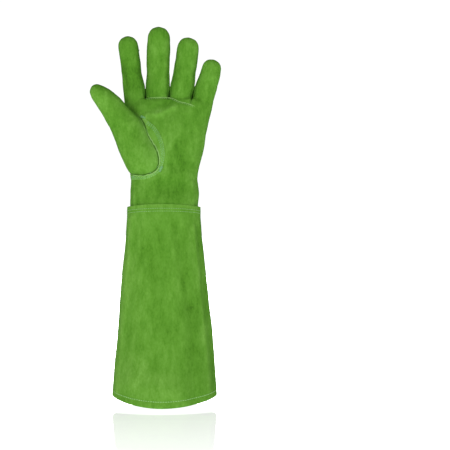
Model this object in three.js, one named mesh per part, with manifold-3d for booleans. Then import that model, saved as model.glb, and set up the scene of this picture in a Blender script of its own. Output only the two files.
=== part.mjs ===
// A left-hand rose pruning gauntlet of split suede leather, in millimetres, +Z up. The gauntlet stands as
// it does on an arm: the fingers point up, the palm faces -Y and the thumb is at -X. The origin is the
// middle of the cuff's mouth, level with the lowest point of its rim. Every panel is a leather wall of its
// own. Panels that are sewn together meet with a hair of space between them.
import * as THREE from "three";
import { mergeVertices } from "three/addons/utils/BufferGeometryUtils.js";
import Module from "manifold-3d";

const wasm = await Module();
wasm.setup();

// The cuff, a flared tube that reaches up the forearm
const CUFF_LENGTH = 234;
const CUFF_MOUTH_WIDTH = 124.2;
const CUFF_MOUTH_DEPTH = 92;
const CUFF_TOP_WIDTH = 86;
const CUFF_TOP_DEPTH = 58;
const CUFF_WALL = 1.4;
const MOUTH_DIP = 9.6; // the rim hangs this much lower at the front and back than at its two side seams
const TOP_ARCH = 3.4; // the upper edge stands this much higher at the front and back than at its side seams
const HEM_HEIGHT = 8;
const HEM_PLY = 1.2; // the turned-up second layer inside the rim

// The hand, from the edge that is tucked into the cuff to the finger crotches
const CUFF_OVERLAP = 15;
const PALM_LENGTH = 146;
const WRIST_WIDTH = 80.4;
const WRIST_DEPTH = 47;
const KNUCKLE_WIDTH = 107;
const KNUCKLE_DEPTH = 31;
const KNUCKLE_OFFSET = 7; // the knuckles lie this much further to the little finger's side than the wrist
const HAND_WALL = 1.4;
const FORWARD_BEND = 9; // how far the middle fingertip curls towards the palm side
const MIDDLE_LENGTH = 82.6;
const FINGER_WIDTH = 27.6;
const FINGER_DEPTH = 22;
const FINGER_ROOT = 16; // how far a finger's tube starts below the crotches, inside the palm

// The strips between the fingers, the piece round the thumb's seam and the spaces at seams
const FOURCHETTE_WIDTH = 9;
const FOURCHETTE_ROOT = 5.4; // how far it goes below the crotch
const FOURCHETTE_TOP = 0.8; // how far it goes up each finger, as a share of that finger's length
const WELT_PLY = 1.1;
const WELT_STOP = 2; // the ply ends this far in front of the side seam
const SEAM_GAP = 0.3;
const SEAM_STEP = 1; // a seam has no point of its own nearer than this to the line between two fingers
const CUFF_FIT = 0.8; // space between the cuff and the hand that is tucked into it

// The elastic gathers across the back of the wrist
const GATHER_DEPTH = 1.3;
const GATHER_PITCH = 10.4;
const GATHER_HEIGHT = 9;
const GATHER_SINK = 0.6; // how far the gathers pull the leather in, as a share of their depth

// Facets round each form
const FINGER_SIDES = 14;
const THUMB_SIDES = 18;
const PALM_SIDES = 48;
const CUFF_SIDES = 32;

const FAR = 2 * (CUFF_LENGTH + PALM_LENGTH); // past every side of the gauntlet
const PAST = 10; // how far a hollow is cut past an open end

const HAND_BASE = CUFF_LENGTH - CUFF_OVERLAP;

// One row for each finger at the crotch level. start is where its middle line begins, as a share of half
// the knuckle width from the knuckles' middle. length is a share of MIDDLE_LENGTH above the crotches, the
// widths are shares of FINGER_WIDTH and depth of FINGER_DEPTH. lean is in degrees, towards the little
// finger.
const FINGERS = [
  {
    name: "index", start: -0.78, lean: -7.2, length: 0.857, depth: 0.955,
    baseWidth: 0.985, midWidth: 0.905, tipWidth: 0.8,
  },
  {
    name: "middle", start: -0.282, lean: 1.8, length: 1, depth: 1,
    baseWidth: 1, midWidth: 1.02, tipWidth: 0.96,
  },
  {
    name: "ring", start: 0.238, lean: 8.9, length: 0.853, depth: 0.955,
    baseWidth: 0.985, midWidth: 1.0, tipWidth: 0.915,
  },
  {
    name: "little", start: 0.774, lean: 15.4, length: 0.553, depth: 0.886,
    baseWidth: 0.905, midWidth: 0.925, tipWidth: 0.83,
  },
];

// Palm and wrist sections: height as a share of PALM_LENGTH, then how far the width and the depth have gone
// from the wrist's size (0) to the knuckles' (1), and how full the oval is (2 is an ellipse).
const PALM_SECTIONS = [
  { up: 0.22, spread: 0.08, thin: -0.14, full: 2.1 },
  { up: 0.33, spread: 0.0, thin: 0.0, full: 2.1 },
  { up: 0.365, spread: 0.02, thin: 0.03, full: 2.1 },
  { up: 0.4, spread: 0.05, thin: 0.07, full: 2.1 },
  { up: 0.435, spread: 0.09, thin: 0.1, full: 2.15 },
  { up: 0.5, spread: 0.21, thin: 0.16, full: 2.2 },
  { up: 0.61, spread: 0.38, thin: 0.3, full: 2.3 },
  { up: 0.73, spread: 0.54, thin: 0.48, full: 2.4 },
  { up: 0.84, spread: 0.74, thin: 0.72, full: 2.5 },
  { up: 0.925, spread: 0.9, thin: 1.0, full: 2.5 },
];
// The rounded end between the fingers: height as a share of PALM_LENGTH, and what is left of the width and
// depth there.
const PALM_END = [
  { up: 0.965, width: 0.985, depth: 0.86 },
  { up: 0.99, width: 0.965, depth: 0.7 },
  { up: 1.0, width: 0.95, depth: 0.5 },
];

// The thumb's middle line from its base in the palm to its tip, as shares: across of half the knuckle
// width, forward of the wrist depth and up of PALM_LENGTH, with the section's width and depth as shares of
// THUMB_WIDTH.
const THUMB_WIDTH = 41;
const THUMB_SECTIONS = [
  { across: -0.52, forward: 0.19, up: 0.355, width: 0.8, depth: 0.5 },
  { across: -0.505, forward: 0.25, up: 0.395, width: 1.02, depth: 0.7 },
  { across: -0.565, forward: 0.3, up: 0.48, width: 1.15, depth: 0.8 },
  { across: -0.79, forward: 0.34, up: 0.61, width: 0.98, depth: 0.79 },
  { across: -0.925, forward: 0.4, up: 0.735, width: 0.93, depth: 0.74 },
  { across: -1.165, forward: 0.49, up: 0.86, width: 0.75, depth: 0.64 },
  { across: -1.335, forward: 0.55, up: 0.945, width: 0.65, depth: 0.57 },
  { across: -1.495, forward: 0.6, up: 1.005, width: 0.54, depth: 0.49 },
  { across: -1.595, forward: 0.62, up: 1.04, width: 0.41, depth: 0.39 },
  { across: -1.65, forward: 0.63, up: 1.06, width: 0.27, depth: 0.26 },
  { across: -1.672, forward: 0.635, up: 1.068, width: 0.11, depth: 0.11 },
];

// Long soft folds. side is front or back; from and to give across as a share of the half width there and up
// as a share of the form's length. reach is the fold's half width and rise its height, as shares of the
// width at the mouth or the knuckles, where a minus sign is a valley.
const CUFF_FOLDS = [
  { side: "front", from: [0.38, 0.9], to: [0.62, 0.5], reach: 0.056, rise: -0.012 },
  { side: "front", from: [0.62, 0.5], to: [0.6, 0.02], reach: 0.064, rise: -0.016 },
  { side: "front", from: [-0.8, 0.92], to: [-0.86, 0.05], reach: 0.048, rise: 0.009 },
  { side: "front", from: [-0.25, 0.75], to: [-0.12, 0.45], reach: 0.08, rise: -0.007 },
  { side: "back", from: [-0.45, 0.85], to: [-0.6, 0.1], reach: 0.072, rise: -0.013 },
  { side: "back", from: [0.35, 0.6], to: [0.55, 0.05], reach: 0.072, rise: 0.011 },
];
const PALM_FOLDS = [
  { side: "front", from: [-0.3, 0.86], to: [0.2, 0.92], reach: 0.056, rise: 0.015 },
  { side: "front", from: [0.1, 0.78], to: [0.02, 0.5], reach: 0.084, rise: 0.011 },
  { side: "front", from: [0.45, 0.8], to: [0.25, 0.45], reach: 0.084, rise: -0.014 },
  { side: "front", from: [-0.2, 0.25], to: [0.5, 0.22], reach: 0.093, rise: -0.017 },
  { side: "back", from: [-0.5, 0.75], to: [-0.35, 0.5], reach: 0.075, rise: -0.011 },
  { side: "back", from: [0.45, 0.8], to: [0.4, 0.5], reach: 0.084, rise: -0.009 },
];

// Seams drawn on the palm side, across as a share of half the knuckle width and up as a share of PALM_LENGTH.
const FINGER_SEAM = [
  [-0.6, 0.99], [-0.36, 0.994], [-0.18, 0.996], [0.015, 0.996], [0.105, 0.98],
  [0.22, 0.959], [0.363, 0.947], [0.53, 0.925], [0.62, 0.912],
];
const INDEX_WRAP = [[-0.53, 1.03], [-0.7, 1.035], [-0.83, 1.02], [-0.92, 0.98], [-0.97, 0.9], [-1.0, 0.8]];
const WELT_EDGE = [
  [-0.6, 0.83], [-0.54, 0.815], [-0.415, 0.787], [-0.288, 0.745], [-0.2, 0.694],
  [-0.136, 0.638], [-0.099, 0.581], [-0.086, 0.521], [-0.115, 0.455], [-0.168, 0.405],
  [-0.312, 0.365], [-0.604, 0.341], [-0.85, 0.345], [-0.9, 0.45],
];

const mix = (a, b, share) => a + (b - a) * share;
const radians = THREE.MathUtils.degToRad;

// A closed mesh as a solid that can be cut and joined.
function solid(geometry) {
  geometry.deleteAttribute("normal");
  geometry.deleteAttribute("uv");
  const merged = mergeVertices(geometry);
  return new wasm.Manifold(
    new wasm.Mesh({
      numProp: 3,
      vertProperties: merged.getAttribute("position").array,
      triVerts: new Uint32Array(merged.index.array),
    }),
  );
}

// A solid back as a mesh's geometry, without the crumbs that a cut along a curve can leave.
function geometryOf(piece) {
  const [panel] = piece.decompose().sort((a, b) => b.volume() - a.volume());
  const { vertProperties, triVerts } = panel.getMesh();
  const geometry = new THREE.BufferGeometry();
  geometry.setAttribute("position", new THREE.BufferAttribute(vertProperties, 3));
  geometry.setIndex(new THREE.BufferAttribute(triVerts, 1));
  geometry.computeVertexNormals();
  return geometry;
}

// An oval skin through sections of one form. A section has its centre, the unit vector across it, its half
// width and half depth, how full the oval is, and how much its front and back are lifted. relief moves a
// point outwards.
function loft(sections, sides, relief = () => 0) {
  const grid = new THREE.CylinderGeometry(1, 1, 1, sides, sections.length - 1, false);
  const at = grid.getAttribute("position");
  for (let i = 0; i < at.count; i++) {
    const section = sections[Math.round((at.getY(i) + 0.5) * (sections.length - 1))];
    const spot = section.centre.clone();
    if (Math.hypot(at.getX(i), at.getZ(i)) > 0.5) {
      const turn = Math.atan2(-at.getZ(i), at.getX(i));
      const power = 2 / (section.full ?? 2);
      const along = Math.sign(Math.cos(turn)) * Math.abs(Math.cos(turn)) ** power;
      const through = Math.sign(Math.sin(turn)) * Math.abs(Math.sin(turn)) ** power;
      const out = relief(along, through, section);
      spot.addScaledVector(section.across, along * (section.halfWidth + out));
      spot.y += through * (section.halfDepth + out);
      spot.z += Math.abs(through) ** 1.5 * (section.lift ?? 0);
    }
    at.setXYZ(i, spot.x, spot.y, spot.z);
  }
  return solid(grid);
}

// An outline in X and Z, pushed right through the gauntlet along Y.
function throughY(outline, from = -FAR, to = FAR) {
  const shape = new THREE.Shape(outline.map(([x, z]) => new THREE.Vector2(x, z)));
  const block = new THREE.ExtrudeGeometry(shape, { depth: to - from, bevelEnabled: false });
  return solid(block.rotateX(Math.PI / 2).translate(0, to, 0));
}

// An outline in Y and Z, pushed right through the gauntlet along X.
function throughX(outline) {
  const shape = new THREE.Shape(outline.map(([y, z]) => new THREE.Vector2(y, z)));
  const block = new THREE.ExtrudeGeometry(shape, { depth: 2 * FAR, bevelEnabled: false });
  block.applyMatrix4(new THREE.Matrix4().makeBasis(
    new THREE.Vector3(0, 1, 0), new THREE.Vector3(0, 0, 1), new THREE.Vector3(1, 0, 0)));
  return solid(block.translate(-FAR, 0, 0));
}

// How far a table of folds moves a point outwards. The form is length long there and 2 * halfWidth wide.
function foldRelief(folds, along, through, { halfWidth, up }, length, width) {
  const here = new THREE.Vector2(along * halfWidth, up);
  let out = 0;
  for (const fold of folds) {
    if ((fold.side === "front") !== through < 0) continue;
    const from = new THREE.Vector2(fold.from[0] * halfWidth, fold.from[1] * length);
    const run = new THREE.Vector2(fold.to[0] * halfWidth, fold.to[1] * length).sub(from);
    const share = THREE.MathUtils.clamp(here.clone().sub(from).dot(run) / run.lengthSq(), 0, 1);
    const away = here.distanceTo(from.addScaledVector(run, share)) / (fold.reach * width);
    out += fold.rise * width * Math.exp(-(away ** 2)) * Math.min(1, Math.abs(through) * 2);
  }
  return out;
}

// The fingers, and the seam sheet through them, bend forward in one curve that starts below the crotches.
const BEND_START = 0.8; // share of PALM_LENGTH
function bendAt(up) {
  const start = PALM_LENGTH * BEND_START;
  const share = Math.max(0, up - start) / (MIDDLE_LENGTH + PALM_LENGTH - start);
  return -FORWARD_BEND * share ** 2;
}

const ACROSS = new THREE.Vector3(1, 0, 0);
const knuckleX = (share) => KNUCKLE_OFFSET + (share * KNUCKLE_WIDTH) / 2;

// The cuff's half sizes at a height, from the mouth (0) to its upper edge (CUFF_LENGTH).
function cuffSize(height) {
  const share = height / CUFF_LENGTH;
  return {
    halfWidth: mix(CUFF_MOUTH_WIDTH, CUFF_TOP_WIDTH, share) / 2,
    halfDepth: mix(CUFF_MOUTH_DEPTH, CUFF_TOP_DEPTH, share) / 2,
  };
}

// The palm and wrist, made larger all round by grow. past is added below the tucked edge.
function palmBody(grow, past = 0) {
  const sections = [0, CUFF_OVERLAP].map((up) => {
    const cuff = cuffSize(HAND_BASE + up);
    return {
      up,
      centre: new THREE.Vector3(0, 0, up),
      halfWidth: cuff.halfWidth - CUFF_WALL - CUFF_FIT + grow,
      halfDepth: cuff.halfDepth - CUFF_WALL - CUFF_FIT + grow,
      full: 2.05,
    };
  });
  if (past) sections[0] = { ...sections[0], centre: new THREE.Vector3(0, 0, -past) };
  for (const row of PALM_SECTIONS) {
    const up = row.up * PALM_LENGTH;
    sections.push({
      up,
      centre: new THREE.Vector3(row.spread * KNUCKLE_OFFSET, bendAt(up), up),
      halfWidth: mix(WRIST_WIDTH, KNUCKLE_WIDTH, row.spread) / 2 + grow,
      halfDepth: mix(WRIST_DEPTH, KNUCKLE_DEPTH, row.thin) / 2 + grow,
      full: row.full,
    });
  }
  for (const row of PALM_END) {
    const up = row.up * PALM_LENGTH + grow;
    sections.push({
      up,
      centre: new THREE.Vector3(KNUCKLE_OFFSET, bendAt(up), up),
      halfWidth: (KNUCKLE_WIDTH / 2) * row.width + grow,
      halfDepth: (KNUCKLE_DEPTH / 2) * row.depth + grow,
      full: 2.5,
    });
  }
  const gatherUp = 0.4 * PALM_LENGTH;
  for (const section of sections) section.across = ACROSS;
  return loft(sections, PALM_SIDES, (along, through, section) => {
    let out = foldRelief(PALM_FOLDS, along, through, section, PALM_LENGTH, KNUCKLE_WIDTH);
    if (through > 0.4) {
      const near = Math.exp(-(((section.up - gatherUp) / GATHER_HEIGHT) ** 2));
      const x = along * section.halfWidth;
      out += GATHER_DEPTH * near * (Math.cos((2 * Math.PI * x) / GATHER_PITCH) - GATHER_SINK);
    }
    return out;
  });
}

// Where a finger's middle line is, at a distance above the crotches.
function fingerSpot(finger, above) {
  const lean = radians(finger.lean);
  const up = PALM_LENGTH + above * Math.cos(lean);
  return new THREE.Vector3(knuckleX(finger.start) + above * Math.sin(lean), bendAt(up), up);
}

// One finger as a filled tube with a round tip, made larger all round by grow. The tip's height is a share
// of its width and its thickness a share of the finger's depth.
const DOME_HEIGHT = 0.52;
const DOME_THICK = 0.92;
function fingerBody(finger, grow) {
  const lean = radians(finger.lean);
  const across = new THREE.Vector3(Math.cos(lean), 0, -Math.sin(lean));
  const length = finger.length * MIDDLE_LENGTH;
  const depth = finger.depth * FINGER_DEPTH;
  const tip = finger.tipWidth * FINGER_WIDTH;
  const dome = tip * DOME_HEIGHT;
  const rows = [
    { above: -FINGER_ROOT, width: finger.baseWidth, thick: 1 },
    { above: length * 0.06, width: finger.baseWidth, thick: 1 },
    { above: length * 0.35, width: finger.midWidth, thick: 1 },
    { above: length * 0.65, width: mix(finger.midWidth, finger.tipWidth, 0.45), thick: 0.97 },
    { above: length - dome, width: finger.tipWidth, thick: DOME_THICK },
  ];
  const sections = rows.map(({ above, width, thick }) => ({
    centre: fingerSpot(finger, above),
    across,
    halfWidth: (width * FINGER_WIDTH) / 2 + grow,
    halfDepth: (depth * thick) / 2 + grow,
    full: 2.2,
  }));
  for (const turn of [28, 52, 70, 82].map(radians)) {
    const left = Math.cos(turn) ** 0.9;
    sections.push({
      centre: fingerSpot(finger, length - dome + (dome + grow) * Math.sin(turn)),
      across,
      halfWidth: (tip / 2 + grow) * left,
      halfDepth: ((depth * DOME_THICK) / 2 + grow) * left,
      full: 2.1,
    });
  }
  return loft(sections, FINGER_SIDES);
}

// The thumb's spot for a row of its table.
function thumbSpot(row) {
  return new THREE.Vector3(knuckleX(row.across), -row.forward * WRIST_DEPTH, row.up * PALM_LENGTH);
}

function thumbBody(grow) {
  const spots = THUMB_SECTIONS.map(thumbSpot);
  const sections = THUMB_SECTIONS.map((row, i) => {
    const run = spots[Math.min(i + 1, spots.length - 1)].clone().sub(spots[Math.max(i - 1, 0)]);
    const across = new THREE.Vector3(run.z, 0, -run.x).normalize();
    const end = i === spots.length - 1 ? grow : i === 0 ? -grow : 0;
    return {
      centre: spots[i].clone().addScaledVector(run.normalize(), end),
      across,
      halfWidth: (row.width * THUMB_WIDTH) / 2 + grow,
      halfDepth: (row.depth * THUMB_WIDTH) / 2 + grow,
      full: 2.1,
    };
  });
  return loft(sections, THUMB_SIDES);
}

// The palm and four fingers as one filled form.
function fistBody(grow, past) {
  return FINGERS.reduce((body, finger) => body.add(fingerBody(finger, grow)), palmBody(grow, past));
}

// The side seams: everything on the palm side (toward -Y) of the curved sheet through the fingers, or
// behind it.
function seamSheet(side, inset) {
  const palmRows = [-0.2, BEND_START, 0.9].map((share) => share * PALM_LENGTH);
  const fingerRows = [0, 0.2, 0.4, 0.6, 0.8, 1.1].map((share) => PALM_LENGTH + share * MIDDLE_LENGTH);
  const line = [...palmRows, ...fingerRows].map((up) => [bendAt(up) + side * inset, up]);
  const last = line.at(-1)[1];
  return throughX([...line, [side * FAR, last], [side * FAR, line[0][1]]]);
}

// The strip between two fingers: their facing sides, from the crotch up to near the lower tip.
function fourchetteRegion(i, grow) {
  const [a, b] = [FINGERS[i], FINGERS[i + 1]];
  const low = -FOURCHETTE_ROOT - grow;
  const topA = fingerSpot(a, a.length * MIDDLE_LENGTH * FOURCHETTE_TOP + grow);
  const topB = fingerSpot(b, b.length * MIDDLE_LENGTH * FOURCHETTE_TOP + grow);
  const lowA = fingerSpot(a, low);
  const lowB = fingerSpot(b, low);
  const between = throughY([[lowA.x, lowA.z], [lowB.x, lowB.z], [topB.x, topB.z], [topA.x, topA.z]]);
  const half = FOURCHETTE_WIDTH / 2 + grow;
  return between.intersect(seamSheet(-1, -half)).intersect(seamSheet(1, -half));
}

// The line up the open space between two fingers, from their crotch.
function gapLine(i) {
  const [a, b] = [FINGERS[i], FINGERS[i + 1]];
  const edge = (finger, side, above) => {
    const spot = fingerSpot(finger, above);
    return [spot.x + (side * finger.baseWidth * FINGER_WIDTH) / 2, spot.z];
  };
  const middle = (above) => {
    const [left, right] = [edge(a, 1, above), edge(b, -1, above)];
    return [(left[0] + right[0]) / 2, (left[1] + right[1]) / 2];
  };
  return [-0.08, 0.5, 1.4].map((share) => middle(share * MIDDLE_LENGTH));
}

const drawn = (curve) => curve.map(([across, up]) => [knuckleX(across), up * PALM_LENGTH]);

function materialOf(colour, roughness = 0.95) {
  return new THREE.MeshStandardMaterial({ color: colour, roughness, metalness: 0 });
}

const suede = materialOf(0x60983a);
const cuffSuede = materialOf(0x66a03c);
const weltSuede = materialOf(0x74a950);

function mesh(name, piece, material) {
  const made = new THREE.Mesh(geometryOf(piece), material);
  made.name = name;
  return made;
}

// The hand: one filled form, hollowed, then cut into its leather panels along the seams.
function handPanels() {
  const thumb = thumbBody(0);
  const hollow = fistBody(-HAND_WALL, PAST);
  const thumbHollow = thumbBody(-HAND_WALL);
  const front = seamSheet(-1, SEAM_GAP / 2);
  const back = seamSheet(1, SEAM_GAP / 2);
  const panels = {};

  // The thumb is a tube of its own, from the palm's thumb hole outwards.
  const thumbTube = thumb.subtract(hollow).subtract(thumbHollow);
  const spots = THUMB_SECTIONS.map(thumbSpot);
  const sheet = spots.map((spot) => [spot.y, spot.z]);
  const [first, last] = [sheet[0], sheet.at(-1)];
  const thumbSide = (side) => {
    const near = sheet.map(([y, z]) => [y + (side * SEAM_GAP) / 2, z]);
    return throughX([
      [near[0][0], first[1] - FAR], ...near, [near.at(-1)[0], last[1] + FAR],
      [side * FAR, last[1] + FAR], [side * FAR, first[1] - FAR],
    ]);
  };
  panels.thumb_front = [thumbTube.intersect(thumbSide(-1)), suede];
  panels.thumb_back = [thumbTube.intersect(thumbSide(1)), suede];

  let rest = fistBody(0).subtract(hollow).subtract(thumbHollow).subtract(thumbBody(SEAM_GAP));

  for (let i = 0; i < FINGERS.length - 1; i++) {
    const name = `fourchette_${FINGERS[i].name}_${FINGERS[i + 1].name}`;
    panels[name] = [rest.intersect(fourchetteRegion(i, 0)), suede];
    rest = rest.subtract(fourchetteRegion(i, SEAM_GAP));
  }

  // The palm side's two middle fingers are sewn on above a seam across the palm.
  const seam = drawn(FINGER_SEAM);
  const gaps = [0, 1, 2].map(gapLine);
  const fingerFront = (i, grow) => {
    const left = gaps[i].map(([x, z]) => [x - grow, z]);
    const right = gaps[i + 1].map(([x, z]) => [x + grow, z]);
    const below = (x, z) => [x, z - grow];
    const [from, to] = [left[0][0] + SEAM_STEP, right[0][0] - SEAM_STEP];
    const span = seam.filter(([x]) => x > from && x < to).map(([x, z]) => below(x, z));
    const heightAt = (x) => {
      const after = Math.max(1, seam.findIndex((spot) => spot[0] > x));
      const [a, b] = [seam[after - 1], seam[after]];
      return mix(a[1], b[1], (x - a[0]) / (b[0] - a[0]));
    };
    return throughY([
      below(left[0][0], heightAt(left[0][0])), ...span, below(right[0][0], heightAt(right[0][0])),
      ...right.slice(1), ...left.slice(1).reverse(),
    ]);
  };
  for (const i of [1, 2]) {
    const name = `${FINGERS[i].name}_finger_front`;
    panels[name] = [rest.intersect(front).intersect(fingerFront(i - 1, -SEAM_GAP / 2)), suede];
  }
  for (const i of [0, 1]) rest = rest.subtract(front.intersect(fingerFront(i, SEAM_GAP / 2)));

  // The palm's leather goes right round the index finger; the back has the backs of the other three.
  const wrapLine = drawn(INDEX_WRAP);
  const wrapRegion = (grow) => throughY([
    ...wrapLine.map(([x, z]) => [x + grow, z - grow]),
    [-FAR, wrapLine.at(-1)[1] - grow], [-FAR, FAR], gaps[0][2], gaps[0][1],
  ]);
  panels.palm = [rest.intersect(front.add(wrapRegion(0))), suede];
  panels.back = [rest.intersect(back).subtract(wrapRegion(SEAM_GAP)), suede];

  // The narrow second ply round the thumb's seam, on top of the palm.
  const ply = palmBody(SEAM_GAP + WELT_PLY).subtract(palmBody(SEAM_GAP));
  const edge = throughY(drawn(WELT_EDGE), -FAR, -WELT_STOP);
  panels.thumb_welt = [ply.intersect(edge).subtract(thumbBody(SEAM_GAP)), weltSuede];
  return panels;
}

// The filled cuff, made larger all round by grow and longer at both ends by past. hem narrows it above the
// rim.
function cuffBody(grow, past = 0, hem = 0) {
  const rows = [0, 0.12, 0.25, 0.4, 0.55, 0.7, 0.85, 1].map((share) => share * CUFF_LENGTH);
  rows.splice(1, 0, HEM_HEIGHT, HEM_HEIGHT + hem / 2 + SEAM_GAP);
  const sections = rows.map((height) => {
    const { halfWidth, halfDepth } = cuffSize(height);
    const fall = Math.max(0, 1 - height / (0.4 * CUFF_LENGTH)) ** 2 * MOUTH_DIP;
    const arch = Math.max(0, 1 - (CUFF_LENGTH - height) / (0.3 * CUFF_LENGTH)) ** 2 * TOP_ARCH;
    const inset = height <= HEM_HEIGHT ? hem : 0;
    return {
      up: height,
      across: ACROSS,
      centre: new THREE.Vector3(0, 0, height + fall),
      lift: arch - fall,
      halfWidth: halfWidth + grow - inset,
      halfDepth: halfDepth + grow - inset,
      full: mix(1.86, 2.05, height / CUFF_LENGTH),
    };
  });
  sections[0].centre.z -= past;
  sections.at(-1).centre.z += past;
  return loft(sections, CUFF_SIDES, (along, through, section) =>
    foldRelief(CUFF_FOLDS, along, through, section, CUFF_LENGTH, CUFF_MOUTH_WIDTH));
}

function cuffPanels() {
  const wall = cuffBody(0).subtract(cuffBody(-CUFF_WALL, PAST, HEM_PLY));
  const half = (side) => throughX([
    [(side * SEAM_GAP) / 2, -FAR], [(side * SEAM_GAP) / 2, FAR], [side * FAR, FAR], [side * FAR, -FAR]]);
  return {
    cuff_front: [wall.intersect(half(-1)), cuffSuede],
    cuff_back: [wall.intersect(half(1)), cuffSuede],
  };
}

const gauntlet = new THREE.Group();
gauntlet.name = "rose_gauntlet";

const hand = new THREE.Group();
hand.position.z = HAND_BASE;
for (const [name, [piece, material]] of Object.entries(handPanels())) hand.add(mesh(name, piece, material));

const cuff = new THREE.Group();
for (const [name, [piece, material]] of Object.entries(cuffPanels())) cuff.add(mesh(name, piece, material));

gauntlet.add(hand, cuff);

export default gauntlet;
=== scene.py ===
# %% [markdown]
# # A left-hand rose pruning gauntlet in split suede
#
# A gauntlet like this is sewn from a handful of flat suede panels: a palm, a back, finger fronts, narrow
# strips between the fingers called fourchettes, a two-piece thumb and a long flared cuff. This lesson
# builds the leather hand as one smooth skin, cuts that skin into its panels along the seams, gives each
# panel its thickness, and then sews it up with threads.
#
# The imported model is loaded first. It fixes every size and place, so nothing has to be fitted later.

# %% Load the fixed frame
import math

import bmesh
import bpy
import numpy as np
from mathutils import Matrix, Vector, bvhtree, kdtree, noise


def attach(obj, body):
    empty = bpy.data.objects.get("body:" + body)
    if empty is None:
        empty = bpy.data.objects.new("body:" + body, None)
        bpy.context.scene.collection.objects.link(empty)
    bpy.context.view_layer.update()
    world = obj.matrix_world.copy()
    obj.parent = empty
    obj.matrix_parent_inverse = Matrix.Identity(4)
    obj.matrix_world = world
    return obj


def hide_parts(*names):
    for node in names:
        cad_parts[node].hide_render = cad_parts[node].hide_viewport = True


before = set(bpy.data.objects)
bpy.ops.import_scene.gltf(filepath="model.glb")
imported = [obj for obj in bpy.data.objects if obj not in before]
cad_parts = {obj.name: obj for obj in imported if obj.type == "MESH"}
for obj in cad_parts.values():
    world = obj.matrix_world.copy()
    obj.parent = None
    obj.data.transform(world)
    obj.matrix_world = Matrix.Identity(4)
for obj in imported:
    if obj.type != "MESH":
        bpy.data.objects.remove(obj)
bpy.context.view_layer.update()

print("loaded", len(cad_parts), "panels")

# %% [markdown]
# ## Sizes
#
# Lengths are in metres. The driving sizes are the same as in the solid model, and what can be read from
# the frame is read from it. Tables hold shares of these sizes, so that one row says one thing: how wide,
# how deep and how full the glove is at one height.

# %% Driving sizes
MM = 0.001
CUFF_LENGTH = 234 * MM
CUFF_MOUTH = (124.2 * MM, 92 * MM)  # width, depth
CUFF_TOP = (86 * MM, 58 * MM)
CUFF_WALL = 1.4 * MM
MOUTH_DIP = 9.6 * MM
TOP_ARCH = 3.4 * MM
HEM_HEIGHT = 8 * MM
HAND_BASE = 219 * MM
CUFF_OVERLAP = CUFF_LENGTH - HAND_BASE
CUFF_FIT = 0.8 * MM
WELT_PLY = 1.1 * MM

PALM_LENGTH = 146 * MM
WRIST = (80.4 * MM, 47 * MM)
KNUCKLE = (107 * MM, 31 * MM)
KNUCKLE_OFFSET = 7 * MM
FORWARD_BEND = 9 * MM
BEND_START = 0.8 * PALM_LENGTH
LEATHER = 1.3 * MM

MIDDLE_LENGTH = 82.6 * MM
FINGER_WIDTH = 27.6 * MM
FINGER_DEPTH = 22 * MM
FINGER_ROOT = 16 * MM
TIP_ROOM = 1.3 * MM  # the fused skin is drawn back this much at a fingertip
THUMB_WIDTH = 41 * MM

# %% Section tables
# name, start across, lean, length, depth, base width, middle width, tip width
FINGERS = [
    ("index", -0.785, -7.2, 0.863, 0.955, 0.95, 0.905, 0.82),
    ("middle", -0.282, 1.8, 1.0, 1.0, 1.0, 1.02, 0.98),
    ("ring", 0.238, 8.9, 0.853, 0.955, 1.0, 1.0, 0.935),
    ("little", 0.752, 15.9, 0.553, 0.886, 0.97, 0.925, 0.85),
]
# up, spread from wrist to knuckles, thinning from wrist to knuckles, fullness of the oval
PALM_ROWS = [
    (0.22, 0.08, -0.14, 2.1),
    (0.33, 0.0, 0.0, 2.1),
    (0.365, 0.02, 0.03, 2.1),
    (0.4, 0.05, 0.07, 2.1),
    (0.435, 0.09, 0.1, 2.15),
    (0.5, 0.21, 0.16, 2.2),
    (0.61, 0.38, 0.3, 2.3),
    (0.73, 0.54, 0.48, 2.4),
    (0.84, 0.74, 0.72, 2.5),
    (0.925, 0.9, 1.0, 2.5),
]
# up, share of the width, share of the depth
PALM_END_ROWS = [(0.965, 0.985, 0.86), (0.99, 0.965, 0.7), (1.0, 0.95, 0.5)]
# across, forward, up, width, depth
THUMB_ROWS = [
    (-0.52, 0.19, 0.355, 0.8, 0.5),
    (-0.505, 0.25, 0.395, 1.02, 0.7),
    (-0.585, 0.3, 0.48, 1.06, 0.78),
    (-0.79, 0.34, 0.61, 0.98, 0.79),
    (-0.925, 0.4, 0.735, 0.93, 0.74),
    (-1.165, 0.49, 0.86, 0.75, 0.64),
    (-1.335, 0.55, 0.945, 0.65, 0.57),
    (-1.495, 0.6, 1.005, 0.54, 0.49),
    (-1.595, 0.62, 1.04, 0.41, 0.39),
    (-1.65, 0.63, 1.06, 0.27, 0.26),
    (-1.672, 0.635, 1.068, 0.11, 0.11),
]
print(len(FINGERS), "fingers and one thumb")

# %% [markdown]
# ## Camera, light and floor
#
# The photograph is a plain studio shot from straight in front, at the height of the glove's middle, a
# little to its right. The camera comes first, because every later look goes through it. A long lens
# from 1.2 m keeps the cuff from bulging towards us.

# %% Camera
CAMERA_PLACE = Vector((73 * MM, -1.2, 212.5 * MM))

camera_data = bpy.data.cameras.new("photo_camera")
camera_data.lens = 80
camera_data.sensor_width = 36
camera_data.clip_end = 20
camera = bpy.data.objects.new("photo_camera", camera_data)
camera.location = CAMERA_PLACE
camera.rotation_euler = (math.radians(90), 0, 0)
bpy.context.collection.objects.link(camera)
bpy.context.scene.camera = camera
print("camera at", tuple(round(v, 3) for v in camera.location))


# %% Helpers for objects and materials
def mesh_object(name, bm):
    """Turns a bmesh into a linked object with smooth faces."""
    data = bpy.data.meshes.new(name)
    bm.to_mesh(data)
    bm.free()
    data.polygons.foreach_set("use_smooth", [True] * len(data.polygons))
    made = bpy.data.objects.new(name, data)
    bpy.context.collection.objects.link(made)
    return made


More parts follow.
